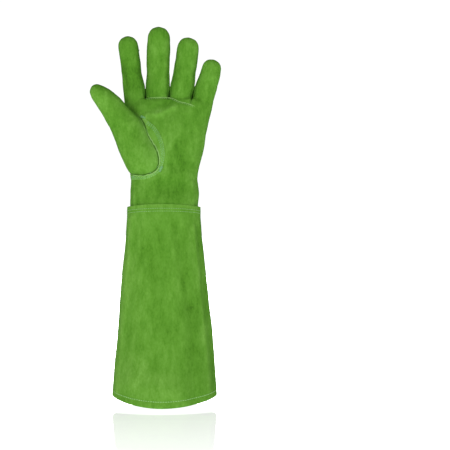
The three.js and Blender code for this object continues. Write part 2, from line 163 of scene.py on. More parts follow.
def nodes_of(material):
    """A fresh node tree, with one shader that is linked to its output."""
    material.use_nodes = True
    tree = material.node_tree
    tree.nodes.clear()
    out = tree.nodes.new("ShaderNodeOutputMaterial")
    shader = tree.nodes.new("ShaderNodeBsdfPrincipled")
    tree.links.new(shader.outputs[0], out.inputs["Surface"])
    return tree, shader


def place_of(tree, scale=None):
    """The place on the object, in metres, squeezed or stretched where a scale is given."""
    place = tree.nodes.new("ShaderNodeTexCoord").outputs["Object"]
    if scale is None:
        return place
    mapping = tree.nodes.new("ShaderNodeMapping")
    mapping.inputs["Scale"].default_value = scale
    tree.links.new(place, mapping.inputs["Vector"])
    return mapping.outputs["Vector"]


def ramp_of(tree, source, stops):
    """A colour ramp through stops of place and colour, read off at the source."""
    ramp = tree.nodes.new("ShaderNodeValToRGB")
    elements = ramp.color_ramp.elements
    for i, (place, tone) in enumerate(stops):
        element = elements[i] if i < 2 else elements.new(place)
        element.position = place
        element.color = tone
    tree.links.new(source, ramp.inputs["Fac"])
    return ramp.outputs["Color"]


# %% [markdown]
# The table top glows as white as the background. Beside the cuff its glow is dimmer, so that the soft
# reflection shows there, and right under the mouth it is full.

# %% Studio
FLOOR_DROP = 3 * MM
FLOOR_RADIUS = 30
# distance from the cuff's middle as a share of five times the mouth, glow
FLOOR_GLOW = [
    (0.0, 1.0), (0.136, 1.0), (0.147, 0.69), (0.19, 0.69), (0.27, 0.73), (0.5, 0.84), (0.7, 0.98), (1.0, 1.0),
]


def studio_floor():
    """A wide round table top just under the cuff."""
    bm = bmesh.new()
    bmesh.ops.create_circle(bm, cap_ends=True, segments=96, radius=FLOOR_RADIUS)
    bmesh.ops.translate(bm, verts=bm.verts, vec=(0, 0, -FLOOR_DROP))
    return mesh_object("studio_floor", bm)


def table_top():
    """A glossy white whose glow follows the table above."""
    material = bpy.data.materials.new("table_top")
    tree, shader = nodes_of(material)
    shader.inputs["Base Color"].default_value = (0.4, 0.4, 0.4, 1)
    shader.inputs["Roughness"].default_value = 0.06
    shader.inputs["Specular IOR Level"].default_value = 0.3
    shader.inputs["Emission Strength"].default_value = 1
    length = tree.nodes.new("ShaderNodeVectorMath")
    length.operation = "LENGTH"
    tree.links.new(place_of(tree, (0.2 / CUFF_MOUTH[0], 0.2 / CUFF_MOUTH[1], 0)), length.inputs[0])
    stops = [(place, (tone, tone, tone, 1)) for place, tone in FLOOR_GLOW]
    glow = ramp_of(tree, length.outputs["Value"], stops)
    tree.links.new(glow, shader.inputs["Emission Color"])
    return material


floor = studio_floor()
floor.data.materials.append(table_top())


def softbox(name, place, target, size, power):
    """A square area light that looks at a point."""
    data = bpy.data.lights.new(name, "AREA")
    data.energy = power
    data.shape = "SQUARE"
    data.size = size
    lamp = bpy.data.objects.new(name, data)
    lamp.location = place
    lamp.rotation_euler = (Vector(target) - Vector(place)).to_track_quat("-Z", "Y").to_euler()
    bpy.context.collection.objects.link(lamp)
    return lamp


def studio_world(seen, lighting):
    """White to the camera and in the table's gloss, dimmer as a light on the glove."""
    world = bpy.data.worlds.new("studio_world")
    bpy.context.scene.world = world
    world.use_nodes = True
    tree = world.node_tree
    tree.nodes.clear()
    path = tree.nodes.new("ShaderNodeLightPath")
    either = tree.nodes.new("ShaderNodeMath")
    either.operation = "MAXIMUM"
    tree.links.new(path.outputs["Is Camera Ray"], either.inputs[0])
    tree.links.new(path.outputs["Is Glossy Ray"], either.inputs[1])
    strength = tree.nodes.new("ShaderNodeMapRange")
    strength.inputs["To Min"].default_value = lighting
    strength.inputs["To Max"].default_value = seen
    tree.links.new(either.outputs[0], strength.inputs["Value"])
    background = tree.nodes.new("ShaderNodeBackground")
    background.inputs["Color"].default_value = (1, 1, 1, 1)
    tree.links.new(strength.outputs["Result"], background.inputs["Strength"])
    out = tree.nodes.new("ShaderNodeOutputWorld")
    tree.links.new(background.outputs[0], out.inputs["Surface"])


studio_world(1.05, 0.16)
softbox("key_softbox", (-1.05, -2.1, 0.3), (0, 0, 0.22), 0.9, 20.5)
softbox("fill_softbox", (1.35, -2.25, 0.6), (0, 0, 0.2), 1.2, 18)
softbox("back_softbox", (0, 3, 0.6), (0, 0, 0.2), 1.5, 40)
bpy.context.scene.view_settings.view_transform = "Standard"
print("studio ready")

# %% [markdown]
# ## Rolling a form up from a flat grid
#
# A finger, a palm and a cuff are all tubes whose oval changes with height. Leather is flat before it is
# sewn, and so is the mesh: a grid of the right fineness is rolled round the oval of each height. Between
# two rows of a table the sizes follow a monotone cubic curve, which never overshoots a row and so never
# makes a bulge that the table doesn't have.


# %% Smooth curves through table rows
def cubic_through(stations, values, wanted):
    """Monotone cubic curve through the values at the stations, read off at the wanted places."""
    stations, values, wanted = (np.asarray(v, float) for v in (stations, values, wanted))
    gaps = np.diff(stations)
    slopes = np.diff(values) / gaps
    tangent = np.zeros(len(values))
    tangent[0], tangent[-1] = slopes[0], slopes[-1]
    for i in range(1, len(values) - 1):
        before, after = slopes[i - 1], slopes[i]
        if before * after > 0:
            near, far = 2 * gaps[i] + gaps[i - 1], gaps[i] + 2 * gaps[i - 1]
            tangent[i] = (near + far) / (near / before + far / after)
    at = np.clip(np.searchsorted(stations, wanted) - 1, 0, len(gaps) - 1)
    t = (wanted - stations[at]) / gaps[at]
    return (
        (2 * t**3 - 3 * t**2 + 1) * values[at]
        + (t**3 - 2 * t**2 + t) * gaps[at] * tangent[at]
        + (3 * t**2 - 2 * t**3) * values[at + 1]
        + (t**3 - t**2) * gaps[at] * tangent[at + 1]
    )


def knuckle_x(share):
    return KNUCKLE_OFFSET + share * KNUCKLE[0] / 2


def bend_at(up):
    """How far the hand's middle sheet leans forward at a height above the tucked edge."""
    share = np.maximum(0, np.asarray(up) - BEND_START) / (MIDDLE_LENGTH + PALM_LENGTH - BEND_START)
    return -FORWARD_BEND * share**2


# A section is x, y, z, across x, across z, half width, half depth, fullness.
def refine(sections, step):
    """More sections on smooth curves through the given ones, about a step apart."""
    rows = np.array(sections)
    travel = np.concatenate([[0], np.cumsum(np.linalg.norm(np.diff(rows[:, :3], axis=0), axis=1) + 1e-5)])
    count = max(2, int(travel[-1] / step))
    wanted = np.linspace(0, travel[-1], count + 1)
    fine = np.stack([cubic_through(travel, rows[:, c], wanted) for c in range(rows.shape[1])], axis=1)
    fine[:, 3:5] /= np.linalg.norm(fine[:, 3:5], axis=1, keepdims=True)
    return fine


def roll_up(bm, sections, sides):
    """Rolls a flat grid round the sections, as a closed skin with both ends drawn shut."""
    rings = len(sections)
    made = bmesh.ops.create_grid(bm, x_segments=sides, y_segments=rings + 1, size=0.5)["verts"]
    for vert in made:
        turn = (vert.co.x + 0.5) * 2 * math.pi
        row = round((vert.co.y + 0.5) * (rings + 1))
        x, y, z, across_x, across_z, half_width, half_depth, full = sections[min(max(row - 1, 0), rings - 1)]
        if row in (0, rings + 1):
            vert.co = (x, y, z)
            continue
        cos, sin = math.cos(turn), math.sin(turn)
        along = math.copysign(abs(cos) ** (2 / full), cos) * half_width
        through = math.copysign(abs(sin) ** (2 / full), sin) * half_depth
        vert.co = (x + along * across_x, y + through, z + along * across_z)
    bmesh.ops.remove_doubles(bm, verts=made, dist=1e-6)


print("curve test", cubic_through([0, 1, 2], [0, 1, 4], [0.5, 1.5]).round(3))

# %% [markdown]
# ## The hand as one filled form
#
# The palm, four fingers and the thumb are rolled up one by one and then fused by a voxel remesh. The
# remesh turns overlapping closed tubes into a single even skin, which is what leather stretched over a
# hand looks like, and its even quads take folds and seams well. A boolean would keep hard creases.


# %% Palm, finger and thumb sections
def cuff_half(height):
    share = height / CUFF_LENGTH
    return tuple((mouth + (top - mouth) * share) / 2 for mouth, top in zip(CUFF_MOUTH, CUFF_TOP))


def palm_sections():
    rows = []
    for up in (-5 * MM, 0, CUFF_OVERLAP):
        half_width, half_depth = (half - CUFF_WALL - CUFF_FIT for half in cuff_half(HAND_BASE + max(up, 0)))
        rows.append((0, 0, HAND_BASE + up, 1, 0, half_width, half_depth, 2.05))
    for share, spread, thin, full in PALM_ROWS:
        up = share * PALM_LENGTH
        half_width = (WRIST[0] + (KNUCKLE[0] - WRIST[0]) * spread) / 2
        half_depth = (WRIST[1] + (KNUCKLE[1] - WRIST[1]) * thin) / 2
        middle = (spread * KNUCKLE_OFFSET, float(bend_at(up)), HAND_BASE + up)
        rows.append((*middle, 1, 0, half_width, half_depth, full))
    for share, wide, deep in PALM_END_ROWS:
        up = share * PALM_LENGTH
        half_width, half_depth = KNUCKLE[0] / 2 * wide, KNUCKLE[1] / 2 * deep
        rows.append((KNUCKLE_OFFSET, float(bend_at(up)), HAND_BASE + up, 1, 0, half_width, half_depth, 2.5))
    return rows


def finger_spot(finger, above):
    """A point on a finger's middle line, at a distance above the crotches."""
    lean = math.radians(finger[2])
    up = PALM_LENGTH + above * math.cos(lean)
    return knuckle_x(finger[1]) + above * math.sin(lean), float(bend_at(up)), HAND_BASE + up


def finger_sections(finger):
    _, _, lean, length, depth, base, middle, tip = finger
    lean, length, depth = math.radians(lean), length * MIDDLE_LENGTH + TIP_ROOM, depth * FINGER_DEPTH
    base, middle, tip = (width * FINGER_WIDTH for width in (base, middle, tip))
    dome = tip * 0.52
    across = (math.cos(lean), -math.sin(lean))
    rows = [
        (-FINGER_ROOT, base, depth),
        (length * 0.06, base, depth),
        (length * 0.35, middle, depth),
        (length * 0.65, middle + (tip - middle) * 0.45, depth * 0.97),
        (length - dome, tip, depth * 0.92),
    ]
    for turn in range(10, 90, 8):
        turn = math.radians(turn)
        left = math.cos(turn) ** 0.9
        rows.append((length - dome + dome * math.sin(turn), tip * left, depth * 0.92 * left))
    return [(*finger_spot(finger, above), *across, wide / 2, deep / 2, 2.2) for above, wide, deep in rows]


def thumb_sections():
    spots = [
        Vector((knuckle_x(across), -forward * WRIST[1], HAND_BASE + up * PALM_LENGTH))
        for across, forward, up, _, _ in THUMB_ROWS
    ]
    rows = []
    for i, row in enumerate(THUMB_ROWS):
        run = spots[min(i + 1, len(spots) - 1)] - spots[max(i - 1, 0)]
        across = Vector((run.z, 0, -run.x)).normalized()
        rows.append((*spots[i], across.x, across.z, row[3] * THUMB_WIDTH / 2, row[4] * THUMB_WIDTH / 2, 2.1))
    return rows


print("thumb from", tuple(round(v, 3) for v in thumb_sections()[0][:3]))

# %% Roll up and fuse
VOXEL = 0.9 * MM


def filled(*forms):
    """One bmesh with each form rolled up in it."""
    bm = bmesh.new()
    for sections, sides in forms:
        roll_up(bm, refine(sections, 2 * MM), sides)
    bmesh.ops.recalc_face_normals(bm, faces=bm.faces)
    return bm


def baked(thing):
    """The object's mesh with its modifiers applied, in place."""
    data = bpy.data.meshes.new_from_object(thing.evaluated_get(bpy.context.evaluated_depsgraph_get()))
    old = thing.data
    thing.modifiers.clear()
    thing.data = data
    bpy.data.meshes.remove(old)
    return thing


palm_forms = [(palm_sections(), 110)] + [(finger_sections(finger), 64) for finger in FINGERS]
palm_form = filled(*palm_forms)
thumb_form = filled((thumb_sections(), 72))
palm_tree = bvhtree.BVHTree.FromBMesh(palm_form)
thumb_tree = bvhtree.BVHTree.FromBMesh(thumb_form)
palm_form.free()
thumb_form.free()

hand_form = mesh_object("hand_form", filled(*palm_forms, (thumb_sections(), 72)))
remesh = hand_form.modifiers.new("fuse", "REMESH")
remesh.mode = "VOXEL"
remesh.voxel_size = VOXEL
baked(hand_form)
print("fused skin has", len(hand_form.data.polygons), "faces")


# %% [markdown]
# ## Relaxing the skin
#
# Leather bridges a sharp inner corner instead of following it. The fused skin is relaxed: every point moves
# towards the middle of its neighbours, and every second round moves it back a little further, so that the
# form stays as full as it was. Only the crotches, the thumb's crease and the step behind the fingers are
# relaxed without the way back.


# %% Relax
def corners_of(thing):
    co = np.empty(len(thing.data.vertices) * 3)
    thing.data.vertices.foreach_get("co", co)
    return co.reshape(-1, 3)


def edges_of(thing):
    ends = np.empty(len(thing.data.edges) * 2, int)
    thing.data.edges.foreach_get("vertices", ends)
    return ends.reshape(-1, 2)


def relax(co, edges, rounds, strength, weight=1.0):
    """Moves each point towards the middle of its neighbours."""
    a, b = edges.T
    near = np.bincount(a, minlength=len(co)) + np.bincount(b, minlength=len(co))
    for _ in range(rounds):
        middle = np.stack(
            [np.bincount(a, co[b, c], len(co)) + np.bincount(b, co[a, c], len(co)) for c in range(3)], axis=1
        )
        co = co + strength * np.reshape(weight, (-1, 1)) * (middle / near[:, None] - co)
    return co


def distances(tree, points):
    return np.array([tree.find_nearest(Vector(p))[3] for p in points])


def crotch_line(i):
    """The line up the open space between finger i and the next: three points of x and z."""
    a, b = FINGERS[i], FINGERS[i + 1]
    line = []
    for share in (-0.08, 0.5, 1.4):
        above = share * MIDDLE_LENGTH
        left, right = finger_spot(a, above), finger_spot(b, above)
        x = (left[0] + a[5] * FINGER_WIDTH / 2 + right[0] - b[5] * FINGER_WIDTH / 2) / 2
        line.append((x, (left[2] + right[2]) / 2))
    return np.array(line)


CROTCHES = [crotch_line(i) for i in range(3)]
CROTCH_REACH = 3 * MM
THUMB_REACH = 2.4 * MM
BRIDGE_REACH = 11 * MM  # the leather spans the crease between thumb and palm this far
CREASE_TOP = 0.87  # up to this share of the palm's length
KNUCKLE_REACH = 7 * MM  # and this far the step from the back of the hand to the fingers
KNUCKLE_STEP = 0.985  # which lies at this share of the palm's length

skin = corners_of(hand_form)
skin_edges = edges_of(hand_form)
from_thumb = distances(thumb_tree, skin)
from_palm = distances(palm_tree, skin)
for _ in range(8):
    skin = relax(skin, skin_edges, 1, 0.55)
    skin = relax(skin, skin_edges, 1, -0.57)
joined = from_thumb + from_palm
crease = np.exp(-((joined / THUMB_REACH) ** 2))
for line in CROTCHES:
    away = np.hypot(skin[:, 0] - line[0, 0], skin[:, 2] - (HAND_BASE + PALM_LENGTH))
    crease = np.maximum(crease, np.exp(-((away / CROTCH_REACH) ** 2)))
skin = relax(skin, skin_edges, 8, 0.5, crease)
share = (skin[:, 2] - HAND_BASE) / PALM_LENGTH
below = np.clip((CREASE_TOP - share) / 0.05, 0, 1)
bridge = np.exp(-((joined / BRIDGE_REACH) ** 2)) * below * (skin[:, 1] < 0)
knuckles = np.exp(-(((share - KNUCKLE_STEP) * PALM_LENGTH / KNUCKLE_REACH) ** 2))
knuckles *= skin[:, 1] > bend_at(skin[:, 2] - HAND_BASE)
skin = relax(skin, skin_edges, 60, 0.5, np.maximum(bridge, knuckles * (1 - crease)))
hand_form.data.vertices.foreach_set("co", skin.ravel())
hand_form.data.update()
print("relaxed", len(skin), "points")

# %% [markdown]
# ## Folds and gathers
#
# A worn suede glove is never smooth. The large folds come from short tables: two ends, a reach and a rise.
# Between them the skin gets soft lumps from three sizes of noise. An elastic is sewn across the back of the
# wrist, and the leather over it stands in small upright gathers.

# %% Fold tables
# side of the hand (-1 palm, 1 back), from across, from up, to across, to up, reach, rise
PALM_FOLDS = [
    (-1, -0.5, 0.845, -0.2, 0.855, 0.032, 0.01),
    (-1, -0.2, 0.855, 0.12, 0.915, 0.032, 0.012),
    (-1, -0.3, 0.92, -0.05, 0.95, 0.04, -0.008),
    (-1, 0.33, 0.75, 0.12, 0.58, 0.034, 0.007),
    (-1, 0.1, 0.78, 0.02, 0.5, 0.084, 0.008),
    (-1, 0.5, 0.8, 0.32, 0.45, 0.075, -0.008),
    (-1, 0.0, 0.27, 0.62, 0.23, 0.095, -0.018),
    (-1, 0.05, 0.45, 0.4, 0.43, 0.08, -0.01),
    (-1, -0.84, 0.3, -0.86, 0.1, 0.018, 0.006),
    (-1, 0.84, 0.3, 0.86, 0.1, 0.018, 0.006),
    (1, -0.5, 0.75, -0.35, 0.5, 0.075, -0.011),
    (1, 0.45, 0.8, 0.4, 0.5, 0.084, -0.009),
]
CUFF_FOLDS = [
    (-1, 0.38, 0.9, 0.62, 0.5, 0.056, -0.012),
    (-1, 0.6, 0.5, 0.6, 0.02, 0.056, -0.011),
    (-1, -0.84, 0.94, -0.9, 0.05, 0.034, 0.013),
    (-1, 0.8, 0.9, 0.86, 0.05, 0.018, 0.006),
    (-1, 0.9, 0.9, 0.95, 0.05, 0.018, -0.007),
    (-1, -0.25, 0.75, 0.0, 0.42, 0.09, -0.011),
    (-1, -0.5, 0.13, 0.15, 0.1, 0.13, 0.022),
    (1, -0.45, 0.85, -0.6, 0.1, 0.072, -0.013),
    (1, 0.35, 0.6, 0.55, 0.05, 0.072, 0.011),
]


def fold_relief(folds, side, across, up, half_width, length, width):
    """How far the folds move points outwards. across is in half widths and up in metres."""
    out = np.zeros(len(across))
    for fold_side, from_across, from_up, to_across, to_up, reach, rise in folds:
        start = np.stack([from_across * half_width, np.full(len(up), from_up * length)])
        run = np.stack([to_across * half_width, np.full(len(up), to_up * length)]) - start
        here = np.stack([across * half_width, up]) - start
        share = np.clip((here * run).sum(0) / (run**2).sum(0), 0, 1)
        away = np.hypot(*(here - share * run)) / (reach * width)
        out += np.where(side == fold_side, rise * width * np.exp(-(away**2)), 0)
    return out


def lumps(points, sizes):
    """Soft noise of several sizes: for each, how wide and how high its lumps are."""
    total = np.zeros(len(points))
    for wide, high in sizes:
        total += [high * noise.noise(Vector(p) / wide) for p in points]
    return total


def noise_along(values, stretch):
    """Noise along one line, for creases that are never evenly spaced."""
    return np.array([noise.noise(Vector((v / stretch, 3.7, 1.3))) for v in values])


# %% Slits between the fingers
SLIT_REACH = 0.95 * MM
SLIT_HEIGHT = 20 * MM
PINCH = 0.8 * MM  # the fingers lean this much towards the slit between them
PINCH_REACH = 5 * MM


def slit_weight(points):
    """1 in the middle of the narrow slit above each crotch, falling to 0 beside it."""
    x, y, z = points.T
    above = z - HAND_BASE - PALM_LENGTH
    start = np.where(y < bend_at(z - HAND_BASE), 3 * MM, 9 * MM)
    window = np.clip((above + 3 * MM) / start, 0, 1) * np.clip((SLIT_HEIGHT - above) / (4 * MM), 0, 1)
    weight = np.zeros(len(x))
    for line in CROTCHES:
        away = (x - np.interp(z, line[:, 1], line[:, 0])) / SLIT_REACH
        weight = np.maximum(weight, np.exp(-(away**2)) * window)
    return weight


def pinched(points):
    """Draws the sides of the fingers together over each crotch, so that their gap closes in a point."""
    x, _, z = points.T
    above = (z - HAND_BASE - PALM_LENGTH) / MM
    window = np.clip((above - 4) / 6, 0, 1) * np.clip((30 - above) / 14, 0, 1)
    for line in CROTCHES:
        away = x - np.interp(z, line[:, 1], line[:, 0])
        points[:, 0] -= PINCH * window * np.tanh(away / (0.6 * MM)) * np.exp(-((away / PINCH_REACH) ** 2))
    return points


slit = slit_weight(skin)
skin = pinched(skin)
sheet = bend_at(skin[:, 2] - HAND_BASE)
skin[:, 1] = sheet + (skin[:, 1] - sheet) * (1 - 0.88 * slit)
print("slits take in", int((slit > 0.3).sum()), "points")

# %% Fold the hand
ELASTIC_UP = 0.41 * PALM_LENGTH
ELASTIC_SINK = 1.5 * MM  # the elastic's line is drawn in this deep
ELASTIC_HALF = 2.3 * MM
GATHER_PITCH = 7.5 * MM
GATHER_RISE = 1.3 * MM
GATHER_REACH = 8.5 * MM  # the gathers die out this far above and below the elastic
LUMPS = [(34 * MM, 1.0 * MM), (13 * MM, 0.5 * MM), (5 * MM, 0.16 * MM)]
RIDGE_WEAR_AND_LIGHT_RISE = 1.1 * MM  # a place this much higher than the skin round it is painted paler, partly as worn nap and partly as a painted highlight; a hollow as deep is painted darker as shade
CREASE_LIGHT_REACH = 6 * MM  # and painted light lightens the shade this near to the thumb's crease
THUMB_CREASE_LIGHT = ((0.42, 0.68), (0.5, 2.6))  # on the thumb the painted light is stronger towards the crotch: up, painted light
PALM_CREASE_LIGHT = 0.7
INDEX_DARKENING = 0.8  # the index finger is coloured this much darker


def normals_of(thing):
    flat = np.empty(len(thing.data.vertices) * 3)
    thing.data.vertices.foreach_get("normal", flat)
    return flat.reshape(-1, 3)


palm_rows = np.array(palm_sections())
up = skin[:, 2] - HAND_BASE
half_width = np.interp(skin[:, 2], palm_rows[:, 2], palm_rows[:, 5])
half_depth = np.interp(skin[:, 2], palm_rows[:, 2], palm_rows[:, 6])
across = (skin[:, 0] - np.interp(skin[:, 2], palm_rows[:, 2], palm_rows[:, 0])) / half_width
through = (skin[:, 1] - bend_at(up)) / half_depth
on_palm = np.clip(1 - (from_palm - from_thumb) / (3 * MM), 0, 1)
on_palm *= np.clip((1.06 * PALM_LENGTH - up) / (8 * MM), 0, 1)
out = fold_relief(PALM_FOLDS, np.sign(through), across, up, half_width, PALM_LENGTH, KNUCKLE[0])
out *= np.minimum(1, abs(through) * 2) * on_palm
out += lumps(skin, LUMPS) * np.clip(up / CUFF_OVERLAP - 0.6, 0, 1) * (1 - slit)

behind = np.clip(through * 2 - 0.5, 0, 1) * on_palm * np.clip((0.9 - abs(across)) * 4, 0, 1)
from_elastic = up - ELASTIC_UP - 1.5 * MM * noise_along(skin[:, 0], 12 * MM)
spread = np.exp(-((from_elastic / GATHER_REACH) ** 2))
wander = 5 * MM * noise_along(skin[:, 0], 16 * MM) + 0.16 * from_elastic * across
creases = np.cos(2 * math.pi * (skin[:, 0] + wander) / GATHER_PITCH)
creases *= 0.75 + 0.6 * noise_along(skin[:, 0] + 0.4 * skin[:, 2], 9 * MM)
out += behind * spread * (GATHER_RISE * creases + 0.4 * MM)
out -= behind * ELASTIC_SINK * np.exp(-((from_elastic / ELASTIC_HALF) ** 2))
skin = skin + normals_of(hand_form) * out[:, None]
hand_form.data.vertices.foreach_set("co", skin.ravel())
# painted light on the leather beside the thumb's crease, where its shade falls
beside_crease = np.exp(-((joined / CREASE_LIGHT_REACH) ** 2)) * (skin[:, 1] < 0) * (share < CREASE_TOP)
on_index = np.clip((share - 1) / 0.08, 0, 1)
on_index *= skin[:, 0] < np.interp(skin[:, 2], CROTCHES[0][:, 1], CROTCHES[0][:, 0])
# ridges painted paler and hollows darker, partly as worn nap and partly as painted light and shade; painted
# shade down the slits; the index finger coloured darker
wear_and_painted_light = np.tanh(out / RIDGE_WEAR_AND_LIGHT_RISE) - 4 * slit**2 - INDEX_DARKENING * on_index
wear_and_painted_light += beside_crease * np.where(from_thumb < from_palm, np.interp(share, *THUMB_CREASE_LIGHT), PALM_CREASE_LIGHT)
wear_and_light_attribute = hand_form.data.attributes.new("wear_and_painted_light", "FLOAT", "POINT")
wear_and_light_attribute.data.foreach_set("value", wear_and_painted_light)
hand_form.data.update()
print("folded, deepest", round(-out.min() / MM, 1), "mm, highest", round(out.max() / MM, 1), "mm")

# %% [markdown]
# ## Where the seams run
#
# Each point of the skin belongs to one leather panel. A label function says which, from the same few lines
# that a pattern cutter draws: the side seam, the seam under the two middle fingers, the line where the
# palm's leather wraps round the index finger, the fourchettes and the thumb hole. With labels, any cut is
# one job: find where the label changes along an edge, put a point there and join the points.

# %% Seam lines
PALM, BACK, MIDDLE, RING, THUMB_FRONT, THUMB_BACK = range(6)
FOURCHETTE = 6
FOURCHETTE_HALF = 4.5 * MM
FOURCHETTE_ROOT = 5.4 * MM
FOURCHETTE_TOP = 0.84
FOURCHETTE_TAPER = 26 * MM
FOURCHETTE_TIP = 1.1 * MM
# across as a share of half the knuckle width, up as a share of the palm's length
FINGER_SEAM = [
    (-0.6, 0.99), (-0.36, 0.994), (-0.18, 0.996), (0.015, 0.996), (0.105, 0.98),
    (0.22, 0.959), (0.363, 0.947), (0.53, 0.925), (0.62, 0.912),
]
INDEX_WRAP = [(-1.0, 0.8), (-0.97, 0.9), (-0.92, 0.98), (-0.83, 1.02), (-0.7, 1.035), (-0.53, 1.03)]
WELT_EDGE = [
    (-0.6, 0.83), (-0.54, 0.815), (-0.415, 0.787), (-0.288, 0.745), (-0.2, 0.694),
    (-0.136, 0.638), (-0.099, 0.581), (-0.086, 0.521), (-0.115, 0.455), (-0.168, 0.405),
    (-0.312, 0.352), (-0.604, 0.322), (-0.85, 0.322), (-0.9, 0.45),
]


def hand_spots(line):
    """A table's points as x and z."""
    return np.array([(knuckle_x(across), HAND_BASE + up * PALM_LENGTH) for across, up in line])


def drawn(line, step=1 * MM):
    """A smooth line in x and z through a table's points."""
    spots = hand_spots(line)
    travel = np.concatenate([[0], np.cumsum(np.hypot(*np.diff(spots, axis=0).T))])
    wanted = np.linspace(0, travel[-1], max(2, int(travel[-1] / step)))
    return np.stack([cubic_through(travel, spots[:, c], wanted) for c in range(2)], axis=1)


finger_seam = drawn(FINGER_SEAM)
index_wrap = np.concatenate([drawn(INDEX_WRAP), CROTCHES[0][1:2]])
thumb_rows = np.array(thumb_sections())
thumb_low, thumb_high = thumb_rows[:, :3].min(0) - 30 * MM, thumb_rows[:, :3].max(0) + 30 * MM


def on_thumb(points):
    """Whether the thumb's form is nearer than the palm's."""
    found = np.zeros(len(points), bool)
    near = np.flatnonzero(((points > thumb_low) & (points < thumb_high)).all(axis=1))
    found[near] = distances(thumb_tree, points[near]) < distances(palm_tree, points[near])
    return found


def fourchette_field(i, x, forward, z):
    """Below 0 inside the strip between finger i and the next one."""
    half = np.full(len(x), FOURCHETTE_HALF)
    inside = np.ones(len(x), bool)
    for finger, side in ((FINGERS[i], 1), (FINGERS[i + 1], -1)):
        low = finger_spot(finger, -FOURCHETTE_ROOT)
        top = finger_spot(finger, finger[3] * MIDDLE_LENGTH * FOURCHETTE_TOP)
        axis_x = low[0] + (z - low[2]) * (top[0] - low[0]) / (top[2] - low[2])
        inside &= side * (x - axis_x) > 0
        nearer = side * (x - np.interp(z, CROTCHES[i][:, 1], CROTCHES[i][:, 0])) < 0
        left = np.clip((top[2] - z) / FOURCHETTE_TAPER, 0, 1)
        half = np.where(nearer, FOURCHETTE_HALF * left**0.6, half)
    half = np.where(half < FOURCHETTE_TIP, -1, half)
    bottom = HAND_BASE + PALM_LENGTH - FOURCHETTE_ROOT + FOURCHETTE_HALF
    field = np.hypot(forward, np.minimum(0, z - bottom)) - half
    return np.where(inside, field, 1)


def panel_of(points):
    """The label of the leather panel that each point belongs to."""
    x, y, z = points.T
    forward = y - bend_at(z - HAND_BASE)
    front = forward < 0
    wrapped = (z > np.interp(x, index_wrap[:, 0], index_wrap[:, 1])) & (
        x < np.interp(z, CROTCHES[0][:, 1], CROTCHES[0][:, 0])
    )
    label = np.where(front | wrapped, PALM, BACK)
    above = front & (z > np.interp(x, finger_seam[:, 0], finger_seam[:, 1]))
    for i, name in ((1, MIDDLE), (2, RING)):
        left, right = (np.interp(z, line[:, 1], line[:, 0]) for line in (CROTCHES[i - 1], CROTCHES[i]))
        label[above & (x > left) & (x < right)] = name
    for i in range(3):
        label[fourchette_field(i, x, forward, z) < 0] = FOURCHETTE + i
    thumb = on_thumb(points)
    sheet = np.interp(z, thumb_rows[:, 2], thumb_rows[:, 1])
    label[thumb] = np.where(y < sheet, THUMB_FRONT, THUMB_BACK)[thumb]
    return label


labels = panel_of(skin)
print("points per panel", np.bincount(labels))


# %% Cutting along label changes
SNAP = 0.14  # a cut nearer than this share of an edge to its end moves the end instead
SHORTEST = 0.12 * MM  # shorter edges are closed
SEWN = -1  # the label of a point on a seam


def join_crumbs(bm, layer, smallest=40):
    """Gives each tiny island of faces the label of what lies round it."""
    left = set(bm.faces)
    while left:
        island, front = [], [left.pop()]
        border = []
        while front:
            face = front.pop()
            island.append(face)
            for edge in face.edges:
                for other in edge.link_faces:
                    if other[layer] != face[layer]:
                        border.append(other[layer])
                    elif other in left:
                        left.discard(other)
                        front.append(other)
        if len(island) < smallest and border:
            value = max(set(border), key=border.count)
            for face in island:
                face[layer] = value


def cut_along(bm, label_of):
    """Puts seam points where the label changes and gives each face its label."""
    face_label, vert_label = bm.faces.layers.int.new("panel"), bm.verts.layers.int.new("panel")
    bm.verts.ensure_lookup_table()
    co = np.array([v.co for v in bm.verts])
    label = label_of(co)
    for vert, value in zip(bm.verts, label):
        vert[vert_label] = int(value)
    ends = np.array([(e.verts[0].index, e.verts[1].index) for e in bm.edges])
    crossing = np.flatnonzero(label[ends[:, 0]] != label[ends[:, 1]])
    bm.edges.ensure_lookup_table()
    edges = [bm.edges[k] for k in crossing]
    start, run = co[ends[crossing, 0]], co[ends[crossing, 1]] - co[ends[crossing, 0]]
    low, high = np.zeros(len(edges)), np.ones(len(edges))
    for _ in range(9):
        middle = (low + high) / 2
        same = label_of(start + run * middle[:, None]) == label[ends[crossing, 0]]
        low, high = np.where(same, middle, low), np.where(same, high, middle)
    share = (low + high) / 2
    first = [bm.verts[i] for i in ends[crossing, 0]]
    for k in np.argsort(np.minimum(share, 1 - share)):
        a, b = edges[k].verts
        if a[vert_label] == SEWN or b[vert_label] == SEWN:
            continue
        if min(share[k], 1 - share[k]) < SNAP:
            vert = first[k] if share[k] < 0.5 else edges[k].other_vert(first[k])
            vert.co = start[k] + run[k] * share[k]
        else:
            vert = bmesh.utils.edge_split(edges[k], first[k], share[k])[1]
        vert[vert_label] = SEWN
    bmesh.ops.connect_verts(bm, verts=[v for v in bm.verts if v[vert_label] == SEWN])
    unsure = []
    for face in bm.faces:
        inner = [v[vert_label] for v in face.verts if v[vert_label] != SEWN]
        if inner:
            face[face_label] = inner[0]
        else:
            unsure.append(face)
    if unsure:
        found = label_of(np.array([face.calc_center_median() for face in unsure]))
        for face, value in zip(unsure, found):
            face[face_label] = int(value)
    join_crumbs(bm, face_label)


def seam_edges(bm):
    layer = bm.faces.layers.int["panel"]
    inner = [e for e in bm.edges if len(e.link_faces) == 2]
    return [e for e in inner if e.link_faces[0][layer] != e.link_faces[1][layer]]


